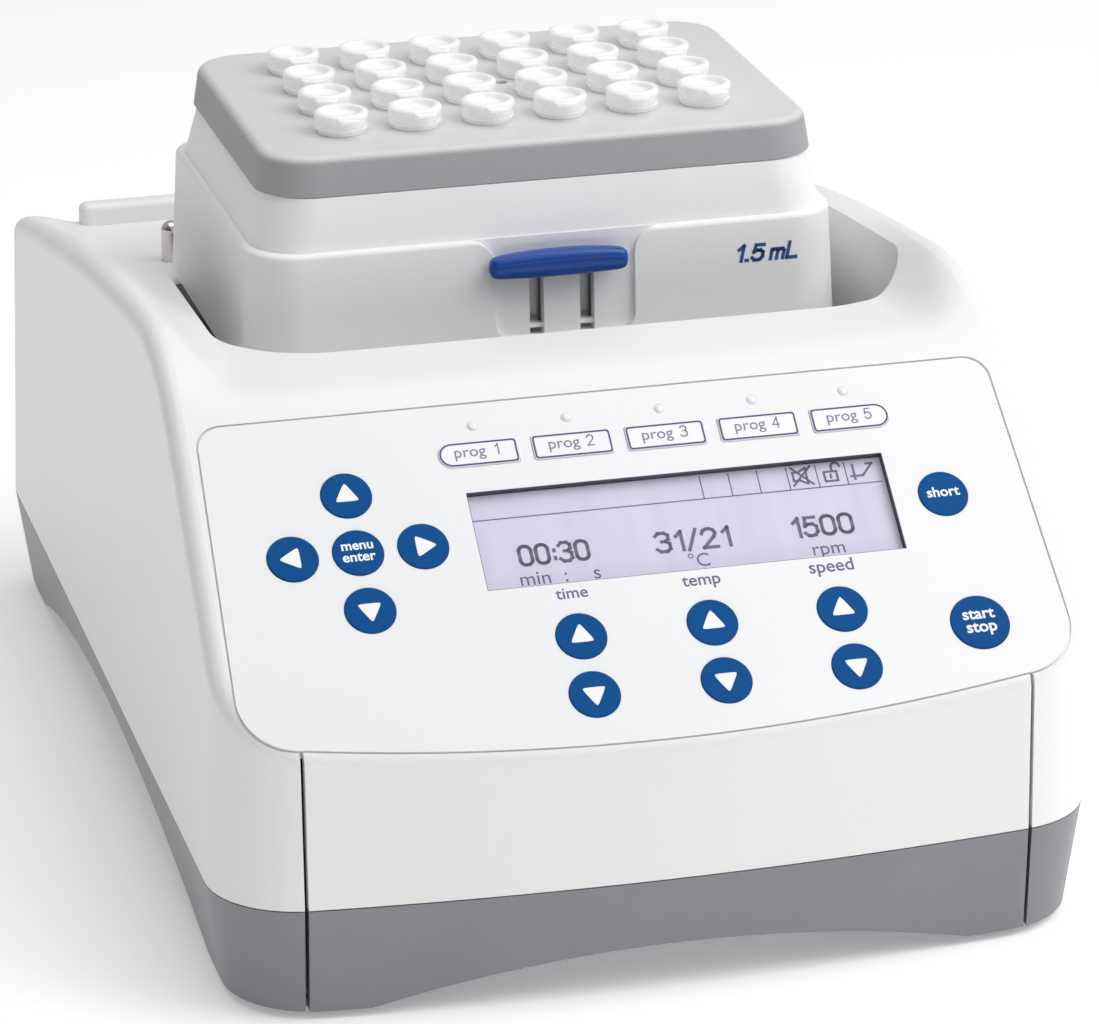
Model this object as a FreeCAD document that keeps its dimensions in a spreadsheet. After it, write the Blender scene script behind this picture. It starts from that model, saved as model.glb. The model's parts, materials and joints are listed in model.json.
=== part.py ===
import FreeCAD, Part
import Sketcher
import math
import os
import re
from FreeCAD import Placement, Rotation, Vector

# Dry block heater with an orbital shaker, in millimetres.
# Frame: +X to the right, +Y to the back, +Z up; the origin is on the desk, under the middle.

doc = FreeCAD.newDocument("block_heater")
sheet = doc.addObject("Spreadsheet::Sheet", "Sheet")

DRIVING_DIMENSIONS = [
    # casing
    ("body_half_width", 103.0), ("body_front", 152.0), ("body_rear", 152.0), ("top_half_width", 98.8),
    ("top_front", 151.6), ("top_rear", 150.0), ("loft_top", 140.0), ("front_bow", 5.0),
    ("front_corner", 22.0), ("rear_corner", 10.0), ("joint_half", 84.2), ("joint_gap", 0.9),
    ("seam_height", 27.4), ("seam_gap", 0.3), ("wall", 2.6), ("edge_round", 4.0),
    # control panel
    ("panel_slope", 39.7), ("panel_y", -145.4), ("panel_z", 65.2), ("foil_thick", 1.0),
    ("foil_half_bottom", 96.4), ("foil_half_top", 93.7), ("foil_top", 84.0), ("foil_groove", 0.45),
    ("key_radius", 5.85), ("start_radius", 6.9), ("key_proud", 0.35), ("key_depth", 1.6),
    ("key_travel", 0.5), ("key_clearance", 0.1), ("stem_radius", 2.5), ("stem_depth", 4.4),
    ("prog_length", 18.7), ("prog_width", 6.5), ("prog_pitch", 22.08), ("nav_pitch", 14.96),
    ("window_left", -35.2), ("window_right", 63.2), ("window_low", 35.0), ("window_high", 60.7),
    # well for the exchangeable block
    ("block_x", 5.66), ("block_y", 34.76), ("well_half", 85.0), ("well_front", -48.6),
    ("well_rear", 84.0), ("well_corner", 26.0), ("well_draft", 1.5), ("well_floor", 84.0),
    ("well_wall", 2.2), ("rim_round", 4.0),
    # base
    ("base_low", 2.0), ("base_draft_side", 3.4), ("base_draft_front", 2.0), ("floor_low", 20.5),
    ("floor_thick", 2.5), ("arch_side_top", 19.4), ("arch_side_half", 115.0), ("arch_side_y", 7.0),
    ("arch_front_top", 11.2), ("arch_front_half", 70.0), ("foot_x", 85.0), ("foot_front", 127.0),
    ("foot_rear", 133.0), ("foot_radius", 9.0), ("foot_tall", 4.5),
    # drive
    ("crank_throw", 1.5), ("shaft_radius", 4.0), ("bearing_radius", 11.0), ("bearing_tall", 7.0),
    ("running_fit", 0.05), ("idler_reach", 62.0), ("chassis_low", 25.0), ("chassis_thick", 1.5),
    ("motor_radius", 33.0), ("bracket_low", 50.0), ("bracket_thick", 4.0), ("crank_low", 57.8),
    ("crank_thick", 3.0), ("pin_top", 71.5), ("table_low", 66.0), ("table_thick", 4.0),
    # thermal stack
    ("plate_width", 118.0), ("plate_depth", 76.0), ("plate_low", 94.5), ("plate_top", 102.0),
    ("sink_low", 74.0), ("sink_base", 86.0), ("sink_top", 91.0),
    # metal post on the rear deck, for the condensation lid
    ("post_x", -64.5), ("post_y", 105.7), ("post_radius", 2.7), ("post_low", 90.0), ("post_top", 110.8),
    # exchangeable block
    ("cover_low", 150.8), ("cover_top", 160.2), ("tube_pitch_x", 18.1), ("tube_pitch_y", 18.7),
    ("tube_radius", 5.35), ("tube_length", 38.5), ("tube_wall", 0.9), ("collar_radius", 6.4),
    ("collar_foot", 5.8),
    ("lid_radius", 6.5), ("cheek_top", 137.6), ("housing_low", 105.0), ("cheek_proud", 1.4),
    ("cheek_front", -20.0),
    ("notch_left", -8.5), ("notch_right", 26.4), ("notch_low", 112.5),
    ("slot_left", 2.1), ("slot_right", 14.65), ("slot_half", 1.8),
    ("grip_left", -10.5), ("grip_right", 23.8), ("grip_low", 128.5), ("grip_high", 135.3),
]
for row, (alias, number) in enumerate(DRIVING_DIMENSIONS, start=1):
    sheet.set(f"A{row}", alias.replace("_", " "))
    sheet.set(f"B{row}", f"{number}")
    sheet.setAlias(f"B{row}", alias)
doc.recompute()

ALIASES = [alias for alias, number in DRIVING_DIMENSIONS]
ALIAS_WORD = re.compile(r"\b(" + "|".join(sorted(ALIASES, key=len, reverse=True)) + r")\b")


def size(alias):
    """The number that the sheet holds under an alias."""
    return float(sheet.get(alias))


def bound(obj, **properties):
    """Bind properties of an object to expressions over the sheet's aliases."""
    for name, text in properties.items():
        target = name.replace("__", ".")
        obj.setExpression(target, ALIAS_WORD.sub(r"Sheet.\1", str(text)))
    return obj


SUBPARTS = []


def keep(obj, label):
    """Name a finished sub-part; its label is the name of its file."""
    obj.Label = label
    SUBPARTS.append(obj)
    return obj


def at(obj, x, y, z, rotation=None):
    """Place an object by three expressions and an optional fixed rotation."""
    if rotation is not None:
        obj.Placement = Placement(Vector(0, 0, 0), rotation)
    return bound(obj, Placement__Base__x=x, Placement__Base__y=y, Placement__Base__z=z)


def box(name, length, width, height, x, y, z):
    """A box from its low corner; every argument is an expression."""
    obj = doc.addObject("Part::Box", name)
    bound(obj, Length=length, Width=width, Height=height)
    return at(obj, x, y, z)


def centred_box(name, length, width, height, x, y, z):
    """A box centred on x and y, standing on z."""
    return box(name, length, width, height, f"({x}) - ({length}) / 2", f"({y}) - ({width}) / 2", z)


def cylinder(name, radius, height, x, y, z, rotation=None):
    obj = doc.addObject("Part::Cylinder", name)
    bound(obj, Radius=radius, Height=height)
    return at(obj, x, y, z, rotation)


def fuse(name, pieces):
    obj = doc.addObject("Part::MultiFuse", name)
    obj.Shapes = pieces
    obj.Refine = True
    return obj


def cut(name, base, tools):
    """A base with one or more tools taken away."""
    tool = tools[0] if len(tools) == 1 else fuse(name + "_tools", tools)
    obj = doc.addObject("Part::Cut", name)
    obj.Base = base
    obj.Tool = tool
    obj.Refine = True
    return obj


def group(name, pieces):
    """Separate solids that share one node."""
    obj = doc.addObject("Part::Compound", name)
    obj.Links = pieces
    return obj


def feature(label, shape, placement=None):
    """A free-form sub-part whose shape is worked out with Part's own functions."""
    obj = doc.addObject("Part::Feature", label)
    own = shape.Placement
    obj.Shape = shape
    obj.Placement = (placement or Placement()).multiply(own)
    return keep(obj, label)


def body_sketch(body, name, offset="0"):
    """A sketch on the body's own XY plane, raised by an expression."""
    sketch = body.newObject("Sketcher::SketchObject", name)
    plane = [origin for origin in body.Origin.OriginFeatures if origin.Role == "XY_Plane"][0]
    sketch.AttachmentSupport = [(plane, "")]
    sketch.MapMode = "FlatFace"
    bound(sketch, AttachmentOffset__Base__z=offset)
    return sketch


def name_constraint(sketch, constraint, name, expression):
    index = sketch.addConstraint(constraint)
    sketch.renameConstraint(index, name)
    bound(sketch, **{f"Constraints__{name}": expression})


def sketch_circle(sketch, radius, x=0.0, y=0.0):
    index = sketch.addGeometry(Part.Circle(Vector(x, y, 0), Vector(0, 0, 1), 5.0))
    name_constraint(sketch, Sketcher.Constraint("Radius", index, 5.0), f"radius{index}", radius)


def sketch_rectangle(sketch, length, width):
    """A rectangle centred on the sketch's origin, its two sides bound to expressions."""
    corner = [Vector(-5, -5, 0), Vector(5, -5, 0), Vector(5, 5, 0), Vector(-5, 5, 0)]
    for k in range(4):
        sketch.addGeometry(Part.LineSegment(corner[k], corner[(k + 1) % 4]))
    for k in range(4):
        sketch.addConstraint(Sketcher.Constraint("Coincident", k, 2, (k + 1) % 4, 1))
    sketch.addConstraint(Sketcher.Constraint("Horizontal", 0))
    sketch.addConstraint(Sketcher.Constraint("Horizontal", 2))
    sketch.addConstraint(Sketcher.Constraint("Vertical", 1))
    sketch.addConstraint(Sketcher.Constraint("Vertical", 3))
    name_constraint(sketch, Sketcher.Constraint("DistanceX", 0, 1, 0, 2, 10.0), "length", length)
    name_constraint(sketch, Sketcher.Constraint("DistanceY", 1, 1, 1, 2, 10.0), "width", width)
    sketch.addConstraint(Sketcher.Constraint("Symmetric", 0, 1, 2, 1, -1, 1))


def pad(body, sketch, height, name="Pad"):
    obj = body.newObject("PartDesign::Pad", name)
    obj.Profile = sketch
    bound(obj, Length=height)
    sketch.Visibility = False
    return obj


def round_edges(body, base, radius, chosen, name="Rounding"):
    """A fillet on the edges of a feature that a test picks."""
    doc.recompute()
    edges = [f"Edge{k + 1}" for k, edge in enumerate(base.Shape.Edges) if chosen(edge)]
    obj = body.newObject("PartDesign::Fillet", name)
    obj.Base = (base, edges)
    bound(obj, Radius=radius)
    return obj


def is_upright(edge):
    ends = [vertex.Point for vertex in edge.Vertexes]
    return len(ends) == 2 and (ends[1] - ends[0]).cross(Vector(0, 0, 1)).Length < 1e-6


def plate(label, length, width, height, corner, x, y, z):
    """A flat plate with rounded corners, sketched and padded, centred on x and y."""
    body = doc.addObject("PartDesign::Body", label + "_body")
    sketch = body_sketch(body, label + "_sketch")
    sketch_rectangle(sketch, length, width)
    flat = pad(body, sketch, height)
    round_edges(body, flat, corner, is_upright)
    return at(body, x, y, z)


# ---------------------------------------------------------------------------
# Outer form of the casing: drafted, bowed front, sculpted top
# ---------------------------------------------------------------------------

def body_outline(half, front, rear, front_corner, rear_corner, z):
    """The casing in plan: an arc across the front, rounded corners and straight sides."""
    bow = size("front_bow")
    joint = size("joint_half")
    bow_radius = (joint ** 2 + bow ** 2) / (2 * bow)
    bow_centre = bow_radius - front
    corner_x = half - front_corner
    corner_y = bow_centre - math.sqrt((bow_radius - front_corner) ** 2 - corner_x ** 2)
    turn = math.atan2(corner_y - bow_centre, corner_x)
    back_x = half - rear_corner
    back_y = rear - rear_corner
    diagonal = rear_corner * math.sqrt(0.5)

    def tangent_points(side):
        tip = Vector(side * bow_radius * math.cos(turn), bow_centre + bow_radius * math.sin(turn), z)
        middle = Vector(side * (corner_x + front_corner * math.cos(turn / 2)),
                        corner_y + front_corner * math.sin(turn / 2), z)
        return tip, middle, Vector(side * half, corner_y, z)

    left_tip, left_mid, left_side = tangent_points(-1)
    right_tip, right_mid, right_side = tangent_points(1)
    return Part.Wire([
        Part.Arc(left_tip, Vector(0, -front, z), right_tip).toShape(),
        Part.Arc(right_tip, right_mid, right_side).toShape(),
        Part.makeLine(right_side, Vector(half, back_y, z)),
        Part.Arc(Vector(half, back_y, z), Vector(back_x + diagonal, back_y + diagonal, z),
                 Vector(back_x, rear, z)).toShape(),
        Part.makeLine(Vector(back_x, rear, z), Vector(-back_x, rear, z)),
        Part.Arc(Vector(-back_x, rear, z), Vector(-back_x - diagonal, back_y + diagonal, z),
                 Vector(-half, back_y, z)).toShape(),
        Part.makeLine(Vector(-half, back_y, z), left_side),
        Part.Arc(left_side, left_mid, left_tip).toShape(),
    ])


def rounded_rectangle(left, right, front, rear, corner, z):
    """A rectangle in plan with four quarter-circle corners."""
    cut_back = corner * (1 - math.sqrt(0.5))

    def point(x, y):
        return Vector(x, y, z)

    return Part.Wire([
        Part.makeLine(point(left + corner, front), point(right - corner, front)),
        Part.Arc(point(right - corner, front), point(right - cut_back, front + cut_back),
                 point(right, front + corner)).toShape(),
        Part.makeLine(point(right, front + corner), point(right, rear - corner)),
        Part.Arc(point(right, rear - corner), point(right - cut_back, rear - cut_back),
                 point(right - corner, rear)).toShape(),
        Part.makeLine(point(right - corner, rear), point(left + corner, rear)),
        Part.Arc(point(left + corner, rear), point(left + cut_back, rear - cut_back),
                 point(left, rear - corner)).toShape(),
        Part.makeLine(point(left, rear - corner), point(left, front + corner)),
        Part.Arc(point(left, front + corner), point(left + cut_back, front + cut_back),
                 point(left + corner, front)).toShape(),
    ])


def casing_hull(inset, low):
    """The drafted casing, every side moved in by an inset, from a low height to above the top."""
    wires = []
    for half, front, rear, z in (
        (size("body_half_width"), size("body_front"), size("body_rear"), low),
        (size("top_half_width"), size("top_front"), size("top_rear"), size("loft_top")),
    ):
        wires.append(body_outline(half - inset, front - inset, rear - inset,
                                  size("front_corner") - inset, size("rear_corner") - inset, z))
    return Part.makeLoft(wires, True, True)


SLOPE = math.radians(size("panel_slope"))
CREST_PEAK = 133.7
CREST_RADIUS = 60.0
CREST_FALL = math.radians(6.0)
CREST_SWEEP = 1450.0
BROW_PEAK = 123.9
BROW_RADIUS = 20.0
BROW_FALL = math.radians(2.2)
REAR_DROP = 18.5
REAR_DROP_START = 20.0
REAR_DROP_LENGTH = 75.0
REAR_FALL = 0.02
VALLEY_HALF = 78.0
CREST_HALF = 98.0


def on_panel(y):
    """Height of the sloping panel plane."""
    return size("panel_z") + (y - size("panel_y")) * math.tan(SLOPE)


def over_hump(y, peak, radius, fall):
    """Panel plane, then an arc over a peak; gives the height and whether the arc is passed."""
    arc_start_z = peak - radius * (1 - math.cos(SLOPE))
    arc_start_y = size("panel_y") + (arc_start_z - size("panel_z")) / math.tan(SLOPE)
    centre_y = arc_start_y + radius * math.sin(SLOPE)
    arc_end_y = centre_y + radius * math.sin(fall)
    if y <= arc_start_y:
        return on_panel(y), None
    if y <= arc_end_y:
        return peak - radius + math.sqrt(radius ** 2 - (y - centre_y) ** 2), None
    return peak - radius * (1 - math.cos(fall)), y - arc_end_y


def side_crest(y):
    """Top edge of the side walls: panel, hump, then a long falling sweep."""
    height, past = over_hump(y, CREST_PEAK, CREST_RADIUS, CREST_FALL)
    if past is None:
        return height
    return height - past * math.tan(CREST_FALL) - past ** 2 / (2 * CREST_SWEEP)


def smooth_step(t):
    """A step from 0 to 1 with flat ends."""
    t = min(1.0, max(0.0, t))
    return t ** 3 * (10 - 15 * t + 6 * t ** 2)


def middle_deck(y):
    """Deck height along the middle: panel, low brow, then a step down to the rear deck."""
    height, past = over_hump(y, BROW_PEAK, BROW_RADIUS, BROW_FALL)
    if past is None:
        return height
    behind = max(0.0, y - REAR_DROP_START)
    front_fall = (past - behind) * math.tan(BROW_FALL)
    return height - front_fall - behind * REAR_FALL - REAR_DROP * smooth_step(behind / REAR_DROP_LENGTH)


def deck_height(x, y):
    """The sculpted top: a smooth step from the middle deck up to the side crests."""
    step = smooth_step((abs(x) - VALLEY_HALF) / (CREST_HALF - VALLEY_HALF))
    return middle_deck(y) + step * (side_crest(y) - middle_deck(y))


def above_deck(drop):
    """Everything above the sculpted top, lowered by a drop."""
    columns = 45
    rows = 86
    half_span = 110.0
    front = -168.0
    spacing = 4.0
    points = []
    for row in range(rows):
        y = front + row * spacing
        line = []
        for column in range(columns):
            x = half_span * (2 * column / (columns - 1) - 1)
            line.append(Vector(x, y, deck_height(x, y) - drop))
        points.append(line)
    surface = Part.BSplineSurface()
    surface.interpolate(points)
    return surface.toShape().extrude(Vector(0, 0, 120))


def sculpted_face(solid):
    """The largest free-form face of a solid, its top."""
    faces = [face for face in solid.Faces if isinstance(face.Surface, Part.BSplineSurface)]
    return max(faces, key=lambda face: face.Area)


seam = size("seam_height")
casing_low = seam + size("seam_gap") / 2
outer_form = casing_hull(0.0, casing_low).cut(above_deck(0.0))
outer_form = outer_form.makeFillet(size("edge_round"), sculpted_face(outer_form).OuterWire.Edges)
inner_drop = size("wall") / math.cos(SLOPE)
inner_form = casing_hull(size("wall"), casing_low).cut(above_deck(inner_drop))

panel_place = Placement(Vector(0, size("panel_y"), size("panel_z")),
                        Rotation(Vector(1, 0, 0), size("panel_slope")))


def panel_outline(margin, z):
    """The foil's outline on the panel plane: bowed bottom, rounded corners, sides closing upwards."""
    half_low = size("foil_half_bottom") + margin
    half_high = size("foil_half_top") + margin
    top = size("foil_top") + margin
    low_corner = 13.4
    high_corner = 6.0
    bow = 6.6
    side_low = 13.0
    tip = half_low - low_corner
    sag = 0.3 * low_corner

    def point(x, y):
        return Vector(x, y, z)

    edges = [Part.Arc(point(-tip, -margin), point(0, -bow - margin), point(tip, -margin)).toShape()]
    edges.append(Part.Arc(point(tip, -margin), point(half_low - sag, sag - margin),
                          point(half_low, side_low)).toShape())
    edges.append(Part.makeLine(point(half_low, side_low), point(half_high, top - high_corner)))
    inner = high_corner * (1 - math.sqrt(0.5))
    edges.append(Part.Arc(point(half_high, top - high_corner), point(half_high - inner, top - inner),
                          point(half_high - high_corner, top)).toShape())
    edges.append(Part.makeLine(point(half_high - high_corner, top), point(high_corner - half_high, top)))
    edges.append(Part.Arc(point(high_corner - half_high, top), point(inner - half_high, top - inner),
                          point(-half_high, top - high_corner)).toShape())
    edges.append(Part.makeLine(point(-half_high, top - high_corner), point(-half_low, side_low)))
    edges.append(Part.Arc(point(-half_low, side_low), point(sag - half_low, sag - margin),
                          point(-tip, -margin)).toShape())
    return Part.Wire(edges)


def panel_slab(margin, low, high):
    """The foil's outline as a solid between two heights above the panel plane, in the panel's frame."""
    return Part.Face(panel_outline(margin, low)).extrude(Vector(0, 0, high - low))


def panel_box(left, right, low, high, bottom, top):
    """A box in the panel's own frame."""
    return Part.makeBox(right - left, high - low, top - bottom, Vector(left, low, bottom))


# ---------------------------------------------------------------------------
# Where the keys are, on the panel: u to the right, v up the slope
# ---------------------------------------------------------------------------

nav = size("nav_pitch")
NAV_CENTRE = (-62.5, 48.0)
ROUND_KEYS = {
    "key_menu_enter": NAV_CENTRE,
    "key_up": (NAV_CENTRE[0], NAV_CENTRE[1] + nav),
    "key_down": (NAV_CENTRE[0], NAV_CENTRE[1] - nav),
    "key_left": (NAV_CENTRE[0] - nav, NAV_CENTRE[1]),
    "key_right": (NAV_CENTRE[0] + nav, NAV_CENTRE[1]),
    "key_short": (75.1, 48.2),
    "key_start_stop": (75.5, 14.0),
}
COLUMNS = {"time": -16.46, "temp": 14.0, "speed": 44.5}
KEY_ROWS = {"up": 21.1, "down": 6.2}
for column, u in COLUMNS.items():
    for direction, v in KEY_ROWS.items():
        ROUND_KEYS[f"key_{column}_{direction}"] = (u, v)
PROG_FIRST = -30.35
PROG_ROW = 70.7
PROG_CENTRES = [(PROG_FIRST + size("prog_pitch") * k, PROG_ROW) for k in range(5)]
LAMP_ROW = 78.0


def key_size(name):
    return size("start_radius") if name == "key_start_stop" else size("key_radius")


def prog_profile(index, margin, z):
    """A program key in plan; the first and last have one half-round end."""
    half = size("prog_length") / 2 + margin
    tall = size("prog_width") / 2 + margin
    small = 0.8

    def point(x, y):
        return Vector(x, y, z)

    def end(side, is_round):
        """Edges up one end, from the bottom line to the top line."""
        if is_round:
            return [Part.Arc(point(side * (half - tall), -tall), point(side * half, 0),
                             point(side * (half - tall), tall)).toShape()]
        soft = small * (1 - math.sqrt(0.5))
        return [
            Part.Arc(point(side * (half - small), -tall), point(side * (half - soft), soft - tall),
                     point(side * half, small - tall)).toShape(),
            Part.makeLine(point(side * half, small - tall), point(side * half, tall - small)),
            Part.Arc(point(side * half, tall - small), point(side * (half - soft), tall - soft),
                     point(side * (half - small), tall)).toShape(),
        ]

    right_in = tall if index == 4 else small
    left_in = tall if index == 0 else small
    bottom = Part.makeLine(point(left_in - half, -tall), point(half - right_in, -tall))
    top = Part.makeLine(point(half - right_in, tall), point(left_in - half, tall))
    edges = [bottom] + end(1, index == 4) + [top] + end(-1, index == 0)
    return Part.Wire(Part.__sortEdges__(edges))


def prog_prism(index, margin, low, high):
    return Part.Face(prog_profile(index, margin, low)).extrude(Vector(0, 0, high - low))


def key_openings(margin, low, high):
    """Every key's opening through the foil or the wall, in the panel's frame."""
    tools = []
    for name, (u, v) in ROUND_KEYS.items():
        tools.append(Part.makeCylinder(key_size(name) + margin, high - low, Vector(u, v, low)))
    for index, (u, v) in enumerate(PROG_CENTRES):
        tool = prog_prism(index, margin, low, high)
        tool.translate(Vector(u, v, 0))
        tools.append(tool)
    return tools


# ---------------------------------------------------------------------------
# Upper housing, front fascia, control foil
# ---------------------------------------------------------------------------

well_left = size("block_x") - size("well_half")
well_right = size("block_x") + size("well_half")


def well_prism(grow, low, high):
    """The well as a drafted prism, narrower at its floor; grow moves its wall outwards."""
    wires = []
    for z in (low, high):
        depth = (size("loft_top") - z) / (size("loft_top") - size("well_floor"))
        move = grow - size("well_draft") * depth
        wires.append(rounded_rectangle(well_left - move, well_right + move, size("well_front") - move,
                                       size("well_rear") + move, size("well_corner") + move, z))
    return Part.makeLoft(wires, True, True)


def fascia_zone(half, depth, low, high):
    """The strip behind the bowed front between the two upright joint lines."""
    bow = size("front_bow")
    joint = size("joint_half")
    bow_radius = (joint ** 2 + bow ** 2) / (2 * bow)
    front = -size("body_front")
    centre = Vector(0, front + bow_radius, low)
    inner = Part.makeCylinder(bow_radius - depth, high - low, centre)
    strip = Part.makeBox(2 * half, 40, high - low, Vector(-half, front - 10, low))
    return strip.cut(inner)


fascia_depth = size("wall")
well_low = size("well_floor")
loft_top = size("loft_top")
housing = outer_form.cut(inner_form)
housing = housing.fuse(well_prism(size("well_wall"), well_low, loft_top).common(outer_form))
housing = housing.cut(well_prism(0.0, well_low - 1, loft_top + 1)).removeSplitter()
rim_wires = [wire for wire in sculpted_face(housing).Wires
             if not wire.isSame(sculpted_face(housing).OuterWire)]
housing = housing.makeFillet(size("rim_round"), rim_wires[0].Edges)

# a raised rib closes the deck at the back
rib_left = -82.0
rib_right = 82.0
rib_front = 143.0
rib_low = 97.0
rib_top = 105.2
rib = Part.Face(rounded_rectangle(rib_left, rib_right, rib_front, size("top_rear") - 0.6, 2.6, rib_low))
rib = rib.extrude(Vector(0, 0, rib_top - rib_low))
rib_edges = [edge for edge in rib.Edges if abs(edge.CenterOfMass.z - rib_top) < 1e-6]
rib = rib.makeFillet(2.0, rib_edges).common(casing_hull(0.2, casing_low))
housing = housing.fuse(rib)

housing = housing.cut(fascia_zone(size("joint_half") + size("joint_gap") / 2, fascia_depth + 0.3, 0, 70))
recess = panel_slab(size("foil_groove"), -size("foil_thick"), 6)
wall_tools = key_openings(0.5, -12, 4)
wall_tools.append(panel_box(size("window_left") - 3, size("window_right") + 3, size("window_low") - 3,
                            size("window_high") + 3, -12, 4))
for u, v in PROG_CENTRES:
    wall_tools.append(Part.makeCylinder(1.9, 16, Vector(u, LAMP_ROW, -12)))
for tool in [recess] + wall_tools:
    tool.Placement = panel_place.multiply(tool.Placement)
housing = housing.cut(recess).cut(Part.makeCompound(wall_tools))
housing = housing.cut(Part.makeCylinder(size("post_radius") + 0.1, 40,
                                        Vector(size("post_x"), size("post_y"), 80)))

# the rear wall: vents, inlet, switch and port
VENT_X = -22.0
VENT_SLOTS = 9
VENT_PITCH = 6.6
VENT_WIDTH = 3.0
vent_low = 40.0
vent_tall = 44.0
INLET_X = 62.0
INLET_Z = 52.0
SWITCH_X = 30.0
PORT_X = -78.0
REAR_FACE = 151.0
rear_tools = []
for k in range(VENT_SLOTS):
    x = VENT_X + (k - (VENT_SLOTS - 1) / 2) * VENT_PITCH
    rear_tools.append(Part.makeBox(VENT_WIDTH, 12, vent_tall, Vector(x - VENT_WIDTH / 2, 143, vent_low)))
rear_tools.append(Part.makeBox(28, 12, 32, Vector(INLET_X - 14, 143, INLET_Z - 10)))
rear_tools.append(Part.makeBox(32.6, 5, 36.6, Vector(INLET_X - 16.3, REAR_FACE, INLET_Z - 12.3)))
rear_tools.append(Part.makeBox(14, 12, 22, Vector(SWITCH_X - 7, 143, INLET_Z - 5)))
rear_tools.append(Part.makeBox(18.6, 5, 26.6, Vector(SWITCH_X - 9.3, REAR_FACE, INLET_Z - 7.3)))
rear_tools.append(Part.makeBox(13, 12, 12, Vector(PORT_X - 6.5, 143, INLET_Z)))
housing = housing.cut(Part.makeCompound(rear_tools))
feature("upper_housing", housing)

fascia = outer_form.common(fascia_zone(size("joint_half") - size("joint_gap") / 2, fascia_depth, 0, 70))
fascia = fascia.cut(recess)
feature("front_fascia", fascia)

foil = panel_slab(0.0, -size("foil_thick"), 0.0)
foil = foil.cut(Part.makeCompound(key_openings(size("key_clearance"), -3, 3)))
foil = foil.cut(panel_box(size("window_left"), size("window_right"), size("window_low"),
                          size("window_high"), -3, 3))
for u, v in PROG_CENTRES:
    foil = foil.cut(Part.makeCylinder(1.25, 6, Vector(u, LAMP_ROW, -3)))
feature("control_foil", foil, panel_place)

lamps = []
for u, v in PROG_CENTRES:
    stem = Part.makeCylinder(1.2, 6.2, Vector(u, LAMP_ROW, -6.2))
    dome = Part.makeSphere(1.6, Vector(u, LAMP_ROW, -1.06)).common(
        Part.makeBox(4, 4, 2, Vector(u - 2, LAMP_ROW - 2, 0)))
    lamps.append(stem.fuse(dome).removeSplitter())
feature("program_lamps", Part.makeCompound(lamps), panel_place)


def round_key(label, u, v, radius):
    """A round key cap on its stem; it slides through the foil onto its switch."""
    body = doc.addObject("PartDesign::Body", label + "_body")
    cap_sketch = body_sketch(body, label + "_cap", "-key_depth")
    sketch_circle(cap_sketch, radius)
    cap = pad(body, cap_sketch, "key_depth + key_proud", "Cap")
    stem_sketch = body_sketch(body, label + "_stem", "-stem_depth")
    sketch_circle(stem_sketch, "stem_radius")
    stem = pad(body, stem_sketch, "stem_depth - key_depth + 0.2", "Stem")
    round_edges(body, stem, "key_proud * 0.8",
                lambda edge: edge.Closed and abs(edge.CenterOfMass.z - size("key_proud")) < 1e-6)
    body.Placement = panel_place.multiply(Placement(Vector(u, v, 0), Rotation()))
    return keep(body, label)


for name, (u, v) in ROUND_KEYS.items():
    round_key(name, u, v, "start_radius" if name == "key_start_stop" else "key_radius")

for index, (u, v) in enumerate(PROG_CENTRES):
    cap = prog_prism(index, 0.0, -size("key_depth"), size("key_proud"))
    top_edges = [edge for edge in cap.Edges if abs(edge.CenterOfMass.z - size("key_proud")) < 1e-6]
    cap = cap.makeFillet(0.25, top_edges)
    stem = Part.makeCylinder(size("stem_radius"), size("stem_depth") - size("key_depth") + 0.2,
                             Vector(0, 0, -size("stem_depth")))
    feature(f"key_prog_{index + 1}", cap.fuse(stem).removeSplitter(),
            panel_place.multiply(Placement(Vector(u, v, 0), Rotation())))

window = panel_box(size("window_left") - 2.5, size("window_right") + 2.5, size("window_low") - 2.5,
                   size("window_high") + 2.5, -2.1, -1.05)
feature("display_window", window, panel_place)
glass = panel_box(size("window_left") - 2, size("window_right") + 2, size("window_low") - 2,
                  size("window_high") + 2, -4.4, -2.3)
carrier = panel_box(size("window_left") - 2.6, size("window_right") + 2.6, size("window_low") - 2.6,
                    size("window_high") + 2.6, -6.4, -4.4)
feature("display_module", glass.fuse(carrier), panel_place)

BOARD_TOP = -7.6
board = panel_box(-88, 88, 0, 82, BOARD_TOP - 1.6, BOARD_TOP)
switch_tall = -size("stem_depth") - size("key_travel") - 0.1 - BOARD_TOP
switches = []
for u, v in list(ROUND_KEYS.values()) + PROG_CENTRES:
    switches.append(Part.makeCylinder(2.2, switch_tall, Vector(u, v, BOARD_TOP)))
feature("keypad_board", board.fuse(switches).removeSplitter(), panel_place)

# ---------------------------------------------------------------------------
# Base: drafted skirt with arched lower edges, floor pan and front skirt
# ---------------------------------------------------------------------------

def base_hull(inset, low, high):
    """The base closing downwards from the seam, every side moved in by an inset."""
    wires = []
    tall = seam - size("base_low")
    for z in (low, high):
        drop = (seam - z) / tall
        side = size("body_half_width") - size("base_draft_side") * drop - inset
        front = size("body_front") - size("base_draft_front") * drop - inset
        rear = size("body_rear") - size("base_draft_front") * drop - inset
        wires.append(body_outline(side, front, rear, size("front_corner") - inset,
                                  size("rear_corner") - inset, z))
    return Part.makeLoft(wires, True, True)


def arch(top, half, axis, centre):
    """A long cylinder whose crown gives the skirt's arched lower edge."""
    rise = top - size("base_low")
    radius = (half ** 2 + rise ** 2) / (2 * rise)
    if axis == "x":
        return Part.makeCylinder(radius, 400, Vector(-200, centre, top - radius), Vector(1, 0, 0))
    return Part.makeCylinder(radius, 400, Vector(centre, -200, top - radius), Vector(0, 1, 0))


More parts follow.
